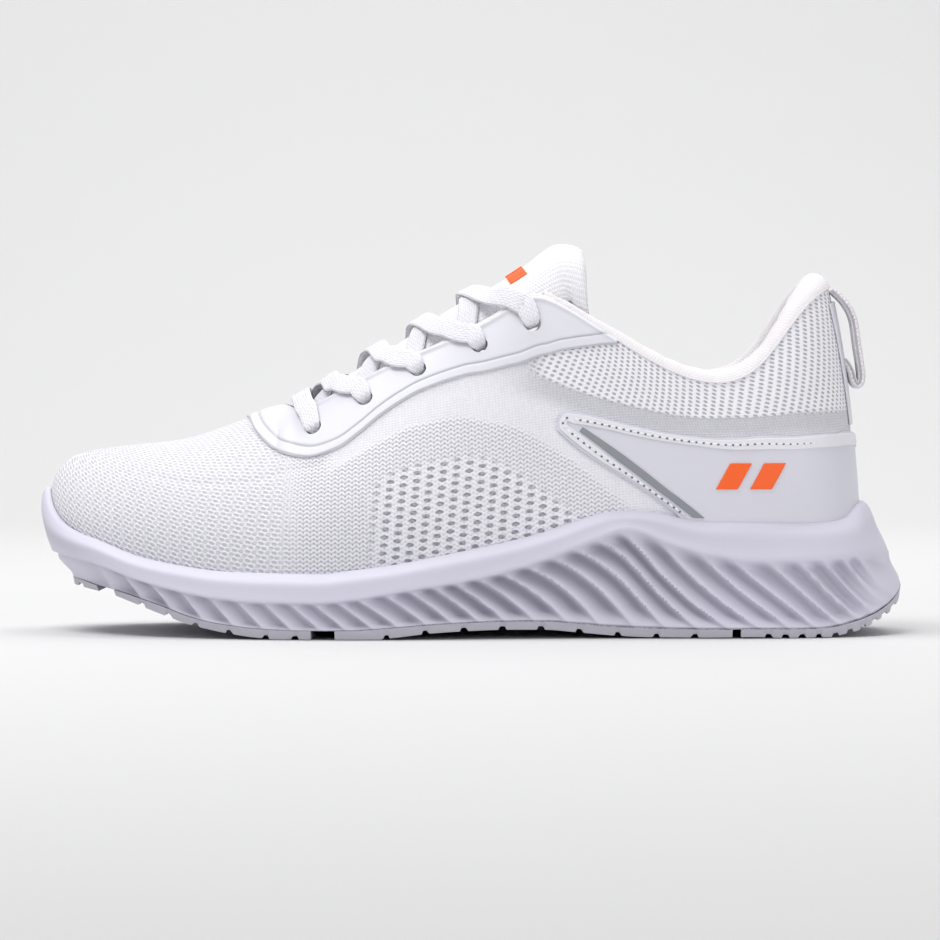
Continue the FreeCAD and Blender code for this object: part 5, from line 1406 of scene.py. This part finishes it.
# ------------------------------------------------------------------ stitches
def stitches(name, runs, mat, r=0.28, length=2.0, pitch=2.9, shift=0.0):
    """runs: lists of (point, normal) along a seam, mm; one thread stitch per pitch."""
    vs, fs = [], []
    for run in runs:
        pts = np.array([p for p, n in run]); nrm = np.array([n for p, n in run])
        seg = np.concatenate([[0], np.cumsum(np.linalg.norm(np.diff(pts, axis=0), axis=1))])
        for k in range(int(seg[-1] / pitch)):
            d = pitch * (k + 0.5 + shift)
            rows = []
            for f, rr in ((-0.5, 0.25), (-0.32, 0.85), (0.0, 1.0), (0.32, 0.85), (0.5, 0.25)):
                q = np.clip(d + f * length, 0, seg[-1])
                p = np.array([np.interp(q, seg, pts[:, c]) for c in range(3)])
                n = np.array([np.interp(q, seg, nrm[:, c]) for c in range(3)])
                n /= np.linalg.norm(n)
                q2 = np.clip(q + 0.1, 0, seg[-1])
                tn = np.array([np.interp(q2, seg, pts[:, c]) for c in range(3)]) - p
                tn = tn / (np.linalg.norm(tn) + 1e-9)
                w = np.cross(n, tn)
                rows.append([p + n * (r * (0.25 + math.sin(a) * rr)) + w * (r * math.cos(a) * rr * 1.2)
                             for a in np.linspace(0, 2 * math.pi, 7)[:-1]])
            b = len(vs)
            for row in rows:
                vs += row
            for i in range(4):
                fs += [(b + i * 6 + j, b + i * 6 + (j + 1) % 6, b + (i + 1) * 6 + (j + 1) % 6, b + (i + 1) * 6 + j)
                       for j in range(6)]
            fs += [tuple(b + j for j in range(6))[::-1], tuple(b + 24 + j for j in range(6))]
    ob = new_mesh(name, vs, fs, smooth_deg=None)
    outward(ob)
    return put(ob, mat)


def seam(side, f, off, n=80):
    out = []
    for k in range(n):
        s, t = f(k / (n - 1.0))
        p = sk(side, s, t, off)
        q = sk(side, s, t, off + 1)
        out.append((p, q - p))
    return out


def between(lo, hi, k):
    def f(u):
        a, b = lo(u), hi(u)
        return (a[0] + (b[0] - a[0]) * k, a[1] + (b[1] - a[1]) * k)
    return f


SEAMS = ([seam(sd, between(top_lo, top_hi, 0.45), O1 + 0.44, 120) for sd in (0, 1)]
         + [seam(sd, between(dg_lo, dg_hi, 0.5), O1 + 0.54) for sd in (0, 1)]
         + [seam(sd, between(nose_o, nose_i, 0.5), O1 + 0.5, 40) for sd in (0, 1)])
for run in SEAMS[:2]:
    pts = np.array([q for q, _ in run])
    for _ in range(30):
        pts[1:-1] = (pts[:-2] + pts[2:] + 2 * pts[1:-1]) / 4
    run[:] = [(a, n) for a, (_, n) in zip(pts, run)]
stitches("overlay_stitches", SEAMS, thread_m, r=0.3, length=1.5, pitch=2.4)
# dark dots between the stitches are painted shade in the needle holes
stitches("needle_hole_shade_dots", SEAMS, needle_hole_shade_m, r=0.3, length=0.75, pitch=2.4, shift=0.5)

# ------------------------------------------------------------------ midsole
def bspl(poles, n):
    """Clamped uniform cubic through n samples."""
    poles = np.asarray(poles, float)
    m = len(poles)
    ks = np.concatenate([[0] * 3, np.linspace(0, 1, m - 2), [1] * 3])
    out = []
    for x in np.linspace(0, 1, n):
        k = min(max(np.searchsorted(ks, x, side="right") - 1, 3), m - 1)
        d = [poles[j + k - 3].copy() for j in range(4)]
        for r in range(1, 4):
            for j in range(3, r - 1, -1):
                a = (x - ks[j + k - 3]) / max(ks[j + 1 + k - r] - ks[j + k - 3], 1e-12)
                d[j] = (1 - a) * d[j - 1] + a * d[j]
        out.append(d[3])
    return np.array(out)


NQV = 640
qs = np.concatenate([[0, 0.0006], np.linspace(0.0015, 0.9985, NQV), [0.9994, 1.0]])


def rib_np(x, f, xo):
    k = 0
    xs = [a + (b - a) * f for a, b in zip(RIB_TOP, RIB_LOW)]
    while k < len(xs) - 2 and xs[k + 1] < x:
        k += 1
    t = min(max((x - xs[k]) / (xs[k + 1] - xs[k]), 0.0), 1.0)
    env = step(f, 0.0, 0.16) * (1 - 0.8 * step(f, 0.8, 1.0))
    env *= step(x, -134, -104) * (1 - 0.9 * step(x, 122, 139))
    env *= 0.62 + 0.38 * step(x, -60, 15)
    w = t ** 2.0
    return 3.6 * env * math.sin(math.pi * w) ** 0.8


sole_rows = []
sole_shade_at = [[], []]
LOWF = np.concatenate([[0, 0.02, 0.045, 0.075], np.linspace(0.1, 0.955, 32), [0.97, 0.99, 1.0]])
for side in (0, 1):
    rows = []
    for q in qs:
        cup, rim, up, low = levels(side, float(q))
        ox, oy, nx, ny = outline(side, float(q))
        zr, zj = Z_RIDGE(ox), Z_JOINT(ox)
        row = [cup[0], cup[1], cup[2], cup[3], rim[1]]
        row += [tuple(p) for p in bspl(up, 13)]
        # painted shade for the flange's middle band, then for each rib trough below
        painted_dip_shade = [0.0] * 5 + [0.30 * math.sin(math.pi * min(max((k - 2) / 9.0, 0.0), 1.0)) for k in range(13)]
        joint_shade_row = [0.0] * len(row)
        for f in LOWF[1:]:
            z = zr + (zj - zr) * f
            ins = IN_RIDGE(ox) + (IN_WAIST(ox) - IN_RIDGE(ox)) * step(f, 0.0, 0.13)
            ins += (IN_JOINT(ox) - IN_WAIST(ox)) * step(f, 0.2, 1.0)
            rb = rib_np(ox - nx * ins, f, ox)
            ins += rb
            row.append((ox - nx * ins, oy - ny * ins, z))
            painted_dip_shade.append(rb / 3.6)
            # painted shade along the joint with the outsole, in the last rows
            joint_shade_row.append(1.0 if f > 0.98 else 0.0)
        rows.append(row)
        sole_shade_at[side].append((painted_dip_shade, joint_shade_row))
    sole_rows.append(np.array(rows))
nr = sole_rows[0].shape[1]
verts = [sole_rows[0].reshape(-1, 3), sole_rows[1].reshape(-1, 3)]
faces = grid_quads(len(qs), nr, 0).tolist() + grid_quads(len(qs), nr, len(qs) * nr, True).tolist()
n0 = len(qs) * nr
off_b = n0 * 2
extra = []
for col, flip in ((0, False), (nr - 1, True)):
    l, r = sole_rows[0][:, col], sole_rows[1][:, col]
    g = np.stack([l * (1 - k) + r * k for k in np.linspace(0, 1, 9)], axis=1)
    extra.append(g.reshape(-1, 3))
    faces += grid_quads(len(qs), 9, off_b, flip).tolist()
    off_b += len(qs) * 9
allv = np.concatenate(verts + extra)
at = np.array(sole_shade_at)                                   # side, q, (painted trough shade, painted joint shade), row
sole_shade_marks = [np.concatenate([at[0, :, k].ravel(), at[1, :, k].ravel(), np.zeros(len(allv) - 2 * n0)]) for k in (0, 1)]
sole = new_mesh("midsole_look", allv, faces, allv[:, [0, 2]], {"painted_dip_shade": sole_shade_marks[0], "seam": sole_shade_marks[1]}, 0.01, None)
outward(sole)
shade(sole, 70)
put(sole, foam_m, replaces=("midsole",), blend=FLEX)

# ------------------------------------------------------------------ outsole pods
def qmid(x):
    return 0.5 * (q_of_x(0, x) + q_of_x(1, x))


def pod_look(name, x0, x1, lugs, rubber_body, node, blend=None, heel=False, toe=False):
    """Rubber pod with a shallow cross-slotted tread."""
    q0, q1 = (0.0 if toe else qmid(x0)), (1.0 if heel else qmid(x1))
    n = max(24, int(620 * (q1 - q0)))
    qq = np.linspace(q0, q1, n)
    rows_t, rows_b = [], []
    M = 25
    for q in qq:
        ends = []
        for side in (0, 1):
            ox, oy, nx, ny = outline(side, float(q))
            ins = IN_JOINT(ox)
            grow = 0.6 * step(ox, -143.3, -120) if ox < -100 else 0.6 * (1 - step(ox, 132, 143))
            z = Z_JOINT(ox) - 0.05
            zz = min(Z_TREAD(ox), z - 1.6)
            ends.append(((ox - nx * (ins - grow), oy - ny * (ins - grow), z),
                         (ox - nx * (ins + 0.45), oy - ny * (ins + 0.45), zz)))
        k = np.linspace(0, 1, M)[:, None]
        (lt, lb), (rt, rb) = [np.array(e) for e in ends[0]], [np.array(e) for e in ends[1]]
        top = np.array(lt) * (1 - k) + np.array(rt) * k
        bot = np.array(lb) * (1 - k) + np.array(rb) * k
        width = np.linalg.norm(np.array(lb) - np.array(rb))
        # lugs: slots across, a centre groove, slots end before the top
        x = bot[:, 0]
        slot = np.zeros(M)
        for sx in lugs:
            slot = np.maximum(slot, smooth_np(-np.abs(x - sx), -1.15, -0.75))
        yc = (k[:, 0] - 0.5) * width
        slot = np.maximum(slot, smooth_np(-np.abs(yc), -1.6, -1.0))
        bot[:, 2] = np.maximum(bot[:, 2], 0.0) + slot * 1.15
        rows_t.append(top)
        rows_b.append(bot)
    ob = slab_ob(name, [(np.array(rows_t), np.array(rows_b), ("b0", "b1") + (() if toe else ("a0",))
                         + (() if heel else ("a1",)), None, None, None)], 0.01, 35)
    if blend:
        put(ob, rubber_m, replaces=(node,), blend=blend)
    else:
        put(ob, rubber_m, rubber_body, replaces=(node,))
    return ob


pod_look("outsole_toe_look", -143, -125.5, [-129.0], "forefoot", "outsole_toe", toe=True)
pod_look("outsole_forefoot_look", -117.5, -49.5, [-107, -98, -89, -78, -66, -56.5], None, "outsole_forefoot",
         blend=FLEX)
pod_look("outsole_midfoot_look", -41.7, 85.8, [-27 + 12.5 * i for i in range(9)], "shoe", "outsole_midfoot")
pod_look("outsole_heel_look", 88.6, 143.3, [97.0, 102.5, 108, 113.5, 119, 124, 128.5, 132.5, 136, 139.5], "shoe",
         "outsole_heel", heel=True)

# ------------------------------------------------------------------ hidden inner pieces, cut fine enough to bend
def inner_copy(node, mat, body="shoe", blend=None, limit=6.0):
    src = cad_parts[node]
    ob = src.copy()
    ob.data = src.data.copy()
    ob.name = node + "_look"
    scene.collection.objects.link(ob)
    ob.parent = None
    ob.matrix_world = Matrix.Identity(4)
    ob.hide_render = ob.hide_viewport = False
    bm = bmesh.new()
    bm.from_mesh(ob.data)
    bmesh.ops.remove_doubles(bm, verts=bm.verts, dist=1e-6)
    for _ in range(3):
        long = [e for e in bm.edges if e.calc_length() > limit * 0.001]
        if not long:
            break
        bmesh.ops.subdivide_edges(bm, edges=long, cuts=1)
        bmesh.ops.triangulate(bm, faces=[f for f in bm.faces if len(f.verts) > 4])
    bm.to_mesh(ob.data)
    bm.free()
    shade(ob, 40)
    for key in list(ob.keys()):
        if key.startswith("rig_"):
            del ob[key]
    return put(ob, mat, body, (node,), blend)


inner_copy("strobel_board", board_m, blend=FLEX)
inner_copy("insole_foam", pufoam_m, blend=FLEX)
inner_copy("insole_cloth", sock_m, blend=FLEX)
inner_copy("eyestay_backing", board_m, blend=FLEX, limit=9.0)
inner_copy("toe_puff", board_m, body="forefoot")
inner_copy("heel_counter", board_m)

# ------------------------------------------------------------------ collar: padded roll and lining in one cloth
def roll_np(side, sv, phi, o):
    return np.array([[roll(side, float(s), float(p), o) for p in phi] for s in sv])


def collar_grid(side, sv, o):
    phi = np.linspace(-0.03, math.pi, 15)
    top = roll_np(side, sv, phi, 0.6 + o)
    tt_ = np.linspace(0.985, 0.03, 44)
    low = []
    for s in sv:
        dep = np.array([lining_depth(float(s), float(q)) for q in tt_])
        low.append(sk(side, np.full(len(tt_), s), tt_, -(dep + GAP + TL + o)))
    g = np.concatenate([top, np.array(low)], axis=1)
    # ease the join between roll and lining
    for _ in range(4):
        g[:, 12:20] = (g[:, 11:19] + 2 * g[:, 12:20] + g[:, 13:21]) / 4
    return g


sv = np.linspace(12.06, 18, 100)
parts_o, parts_i = [], []
for side in (0, 1):
    parts_o.append(collar_grid(side, sv, 0.0))
    parts_i.append(collar_grid(side, sv, -0.75))
outer = np.concatenate([parts_o[0], parts_o[1][-2::-1]])
inner = np.concatenate([parts_i[0], parts_i[1][-2::-1]])
ul = np.concatenate([[0], np.cumsum(np.linalg.norm(np.diff(outer[:, 8], axis=0), axis=1))])
vl = np.concatenate([[0], np.cumsum(np.linalg.norm(np.diff(outer[100], axis=0), axis=1))])
uvw = np.stack(np.meshgrid(ul, vl, indexing="ij"), axis=-1)
rngw = np.sin(ul[:, None] * 0.55 + np.sin(ul[:, None] * 0.13) * 3) * np.exp(-((vl[None] - 9) / 7.0) ** 2)
nrm_dir = outer - inner
nrm_dir /= np.linalg.norm(nrm_dir, axis=-1, keepdims=True)
outer = outer + nrm_dir * (0.16 * rngw)[..., None]
collar = slab_ob("collar_look", [(outer, inner, ("a0", "a1", "b0", "b1"), None, uvw, None)], 0.005, 60)
put(collar, lining_m, replaces=("collar_binding", "collar_lining"))
inner_copy("collar_foam", pufoam_m)

pipes = []
for side in (0, 1):
    ps = np.linspace(9.15, 12.3, 70)
    ring = []
    for k in range(13):
        a = 2 * math.pi * k / 12
        r = 0.35 + 1.15 * smooth_np(ps, 9.15, 10.0)
        c = sk(side, ps, np.full(70, 0.995))
        d = c - sk(side, ps, np.full(70, 0.95))
        d /= np.linalg.norm(d, axis=1, keepdims=True)
        n = sk(side, ps, np.full(70, 0.995), 1.0) - c
        ring.append(c + n * (r * math.cos(a))[:, None] + d * (r * math.sin(a))[:, None] + n * -0.25)
    pipes.append(np.array(ring).transpose(1, 0, 2))
pv, pf = [], []
for g in pipes:
    b = len(pv)
    pv += g[:, :12].reshape(-1, 3).tolist()
    pf += [(b + i * 12 + k, b + i * 12 + (k + 1) % 12, b + (i + 1) * 12 + (k + 1) % 12, b + (i + 1) * 12 + k)
           for i in range(69) for k in range(12)]
    pf += [tuple(b + k for k in range(12))[::-1], tuple(b + 69 * 12 + k for k in range(12))]
pv = np.array(pv)
pipe = new_mesh("throat_piping", pv, pf, pv[:, [0, 2]], None, None, None)
outward(pipe)
shade(pipe, 80)
put(pipe, lining_m)

# ------------------------------------------------------------------ tongue
def smooth_one(x, a, b):
    return float(smooth_np(x, a, b))


def tongue_pad(nu=90, nv=44):
    us = np.concatenate([np.linspace(1.3, TNN - 0.5, nu), TNN - 0.5 + 0.5 * np.sin(np.linspace(0.12, 1, 9) * math.pi / 2)])
    vs_ = np.sin(np.linspace(-1, 1, nv) * math.pi / 2)
    top, bot = [], []
    for uu in us:
        rt, rb = [], []
        tip = math.sqrt(max(1 - (max(uu - (TNN - 0.5), 0) / 0.5) ** 2, 0.0))
        for v in vs_:
            u = uu - 0.12 * abs(v) ** 3.0 * smooth_one(uu, TNN - 3.0, TNN)
            th = TF + TLN + 0.3 + foam_t(u, v)
            side_k = math.sqrt(max(1 - abs(v) ** 10, 0.0)) * (0.12 + 0.88 * tip)
            mid_o = -th / 2
            w = smooth_one(uu, 11.3, TNN)
            low = smooth_one(abs(v), 0.5, 1.0) * smooth_one(uu, 9.0, 12.5)
            sunk = 3.4 * (1 - smooth_one(uu, 1.2, 4.0))
            lean = (4.0 * w - 1.2 * w * abs(v) - 0.8 * low, 0.0, -2.4 * w * w - 7.0 * low - sunk)
            rt.append(add(tongue(u, v, mid_o + th / 2 * side_k + 0.15 * side_k), lean))
            rb.append(add(tongue(u, v, mid_o - th / 2 * side_k), lean))
        top.append(rt)
        bot.append(rb)
    return np.array(top), np.array(bot)


tp, bt = tongue_pad()
un = np.concatenate([[0], np.cumsum(np.linalg.norm(np.diff(tp[:, 22], axis=0), axis=1))])
vn = np.concatenate([[0], np.cumsum(np.linalg.norm(np.diff(tp[40], axis=0), axis=1))])
tuv = np.stack(np.meshgrid(un, vn, indexing="ij"), axis=-1)
tongue_ob = slab_ob("tongue_look", [(tp, bt, ("a0", "a1", "b0", "b1"), None, tuv, None)], 0.01, 60)


def puff(ob, pressure, cap_mm, pin=None, frames=20):
    """Short cloth simulation that swells a padded piece; movement is capped."""
    me = ob.data
    rest = np.empty(len(me.vertices) * 3)
    me.vertices.foreach_get("co", rest)
    rest = rest.reshape(-1, 3)
    dup = ob.copy()
    dup.data = me.copy()
    scene.collection.objects.link(dup)
    vg = dup.vertex_groups.new(name="pin")
    held = np.nonzero(pin(rest * 1000.0))[0] if pin else []
    vg.add([int(i) for i in held], 1.0, "REPLACE")
    m = dup.modifiers.new("Cloth", "CLOTH")
    c = m.settings
    c.quality, c.mass = 6, 0.15
    c.tension_stiffness = c.compression_stiffness = 25
    c.shear_stiffness, c.bending_stiffness = 8, 0.6
    c.use_pressure, c.uniform_pressure_force = True, pressure
    c.effector_weights.gravity = 0.0
    c.vertex_group_mass = "pin"
    m.point_cache.frame_start, m.point_cache.frame_end = 1, frames
    m.collision_settings.use_collision = False
    for f in range(1, frames + 1):
        scene.frame_set(f)
    dg = bpy.context.evaluated_depsgraph_get()
    ev = dup.evaluated_get(dg)
    co = np.empty(len(me.vertices) * 3)
    ev.data.vertices.foreach_get("co", co)
    co = co.reshape(-1, 3)
    mv = (co - rest) * 1000.0
    ln = np.linalg.norm(mv, axis=1, keepdims=True)
    mv *= np.minimum(1.0, cap_mm / np.maximum(ln, 1e-9))
    mv[~np.isfinite(mv).all(axis=1)] = 0
    me.vertices.foreach_set("co", (rest + mv * 0.001).ravel())
    me.update()
    D.objects.remove(dup)
    scene.frame_set(1)


puff(tongue_ob, 3.0, 0.5, lambda p: p[:, 0] < -40)
put(tongue_ob, tongue_m, replaces=("tongue_face", "tongue_foam", "tongue_lining"), blend=FOLD)


def tongue_patch(u0, u1, v0, v1, o, h, n=10):
    a = np.array([[tongue(u0 + (u1 - u0) * i / (n - 1.0), v0 + (v1 - v0) * j / (n - 1.0), o + h)
                   for j in range(n)] for i in range(n)])
    b = np.array([[tongue(u0 + (u1 - u0) * i / (n - 1.0), v0 + (v1 - v0) * j / (n - 1.0), o)
                   for j in range(n)] for i in range(n)])
    return (a, b, ("a0", "a1", "b0", "b1"), None, None, None)


pr = slab_ob("tongue_mark_look", [tongue_patch(9.0, 9.9, a, b, 0.1, 0.55)
                                  for a, b in ((-0.42, -0.16), (-0.08, 0.08), (0.16, 0.42))], 0.005)
bevel(pr, 0.15)
put(pr, accent_m, "tongue_tip", ("tongue_print",))

# ------------------------------------------------------------------ laces
def lace_mesh(runs, wide_k=1.0, thick_k=1.3):
    """Flat woven strap with a rounded section along each run of (point, normal, width, thickness)."""
    vs, fs, uv = [], [], []
    M = 16
    fuller = {4.0: 5.9, 3.3: 4.7, 3.1: 4.0, 4.6: 5.5, 6.2: 6.9, 6.0: 6.5}
    for pts in runs:
        if len(pts) > 16:
            for _ in range(2):
                ps = [q[0] for q in pts]
                for i in range(6, 13):
                    m = tuple((ps[i - 1][c] + 2 * ps[i][c] + ps[i + 1][c]) / 4 for c in range(3))
                    pts[i] = (add(m, pts[i][1], 0.12),) + pts[i][1:]
        rows = [tuple(p) + tuple(n) + (fuller.get(w, 7.1), h) for p, n, w, h in pts]
        f = smooth(rows)
        last, na = len(rows) - 1.0, 14 * len(rows)
        b, dist, prev = len(vs), 0.0, None
        for i in range(na):
            u = last * i / (na - 1.0)
            r = f(u)
            p0, p1 = f(max(u - 0.05, 0)), f(min(u + 0.05, last))
            t = unit([p1[k] - p0[k] for k in range(3)])
            w = unit(cross(r[3:6], t))
            n = cross(t, w)
            if prev:
                dist += math.dist(prev, r[:3])
            prev = r[:3]
            end = min(i, na - 1 - i)
            shrink = min(1.0, 0.55 + 0.15 * end)
            hw, hh = r[6] / 2 * wide_k * shrink, r[7] / 2 * thick_k * shrink
            for k in range(M):
                a = 2 * math.pi * k / M
                c, sgn = math.cos(a), math.sin(a)
                x = math.copysign(abs(c) ** 0.55, c) * hw
                y = math.copysign(abs(sgn) ** 0.75, sgn) * hh
                y *= 1.0 - 0.22 * math.exp(-(x / (hw * 0.28)) ** 2)
                vs.append(add(add(r[:3], w, x), n, y))
                uv.append((dist, x if sgn >= 0 else 3 * hw - x))
        for i in range(na - 1):
            fs += [(b + i * M + k, b + i * M + (k + 1) % M, b + (i + 1) * M + (k + 1) % M, b + (i + 1) * M + k)
                   for k in range(M)]
        fs += [tuple(b + k for k in range(M))[::-1], tuple(b + (na - 1) * M + k for k in range(M))]
    ob = new_mesh("shoelace_look", vs, fs, np.array(uv), None, None, None)
    outward(ob)
    shade(ob, 70)
    return ob


lace_runs = []
for k in range(4):
    lace_runs.append(strand(1, k, True))
    lace_runs.append(strand(0, k, False))
lace_runs.append(bar[0] + middle + bar[1][::-1])
put(lace_mesh(lace_runs), lace_m, replaces=("shoelace",))

ag = inner_copy("lace_aglets", aglet_m)

# ------------------------------------------------------------------ pull loop
vs, fs, uv = [], [], []
M, na = 14, 150
TT, TW = size("TabThick") * 2.1, size("TabWide")
run = 0.0
last_p = None
for i in range(na):
    u = 10.0 * i / (na - 1)
    p, a, b = tab_line(u), tab_line(u - 0.05), tab_line(u + 0.05)
    t = unit((b[0] - a[0], b[1] - a[1]))
    top_k = max(0.0, 1.0 - u / 0.6) ** 2
    low_k = max(0.0, (u - 8.4) / 1.6) ** 2
    p = (p[0] - 1.5 * top_k - 2.3 * low_k, p[1] + 1.0 * top_k)
    if last_p:
        run += math.dist(last_p, p)
    last_p = p
    for k in range(M):
        w = 2 * math.pi * k / M
        c, s_ = math.cos(w), math.sin(w)
        y = math.copysign(abs(c) ** 0.35, c) * TW / 2
        o = math.copysign(abs(s_) ** 0.7, s_) * TT / 2 * (1 + (0.12 if abs(y) > TW * 0.4 else 0))
        vs.append((p[0] - t[1] * o, y, p[1] + t[0] * o))
        uv.append((run, y + (0 if s_ >= 0 else 20)))
for i in range(na - 1):
    fs += [(i * M + k, i * M + (k + 1) % M, (i + 1) * M + (k + 1) % M, (i + 1) * M + k) for k in range(M)]
fs += [tuple(range(M))[::-1], tuple((na - 1) * M + k for k in range(M))]
tab = new_mesh("pull_loop_look", vs, fs, np.array(uv), None, None, None)
outward(tab)
shade(tab, 70)
put(tab, webbing_m, "pull_tab", ("heel_pull_tab",))

# ------------------------------------------------------------------ studio
def area(name, loc, target, w, h, power, color=(1, 1, 1)):
    li = D.lights.new(name, "AREA")
    li.shape, li.size, li.size_y, li.energy, li.color = "RECTANGLE", w, h, power, color
    ob = D.objects.new(name, li)
    scene.collection.objects.link(ob)
    ob.location = loc
    ob.rotation_mode = "QUATERNION"
    ob.rotation_quaternion = (Vector(target) - Vector(loc)).to_track_quat("-Z", "Y")
    return ob


fl = D.meshes.new("floor")
R, H = 4.0, 3.0
prof = [(-R, 0), (0.9, 0)] + [(0.9 + 0.8 * math.sin(a), 0.8 - 0.8 * math.cos(a)) for a in np.linspace(0.1, math.pi / 2, 14)] + [(1.7, H)]
fv = [(x, y, z - 0.0002) for y, z in prof for x in (-5.0, 5.0)]
ff = [(2 * i, 2 * i + 1, 2 * i + 3, 2 * i + 2) for i in range(len(prof) - 1)]
fl.from_pydata(fv, [], ff)
fl.polygons.foreach_set("use_smooth", np.ones(len(fl.polygons), bool))
floor = D.objects.new("floor", fl)
scene.collection.objects.link(floor)
floor_m = D.materials.new("studio_floor")
floor_m.use_nodes = True
floor_m.node_tree.nodes["Principled BSDF"].inputs["Base Color"].default_value = (0.675, 0.675, 0.68, 1)
floor_m.node_tree.nodes["Principled BSDF"].inputs["Roughness"].default_value = 0.9
floor_m.node_tree.nodes["Principled BSDF"].inputs["Specular IOR Level"].default_value = 0.1
fl.materials.append(floor_m)
floor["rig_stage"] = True

world = D.worlds.new("studio") if scene.world is None else scene.world
scene.world = world
world.use_nodes = True
bg = world.node_tree.nodes.get("Background")
bg.inputs[0].default_value = (1, 1, 1, 1)
bg.inputs[1].default_value = 0.30

area("key", (-0.45, -0.35, 1.15), (0, 0, 0.05), 1.0, 0.5, 9.6)
area("front", (-0.9, -1.5, 0.6), (0, 0, 0.05), 0.8, 0.6, 3.2)
area("side_fill", (1.1, -1.2, 0.5), (0.09, 0, 0.04), 0.9, 0.7, 6.0)
area("back", (0.4, 0.7, 1.0), (0, 0.1, 0.05), 1.0, 0.6, 3.0)
area("backdrop", (0.0, 0.35, 1.9), (0, 1.7, 0.35), 2.6, 0.6, 27.5)

cam_d = D.cameras.new("cam")
cam = D.objects.new("cam", cam_d)
scene.collection.objects.link(cam)
dist = 1.5
cam_d.lens = 36.0 * dist / 0.3133
elev = math.radians(1.5)
aim = Vector((0.0, 0.0, 0.0535))
cam.location = aim + Vector((0, -dist * math.cos(elev), dist * math.sin(elev)))
cam.rotation_mode = "QUATERNION"
cam.rotation_quaternion = (aim - cam.location).to_track_quat("-Z", "Y")
cam_d.clip_start, cam_d.clip_end = 0.01, 20
scene.camera = cam
scene.view_settings.view_transform = "Standard"
scene.view_settings.look = "None"

lo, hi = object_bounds()
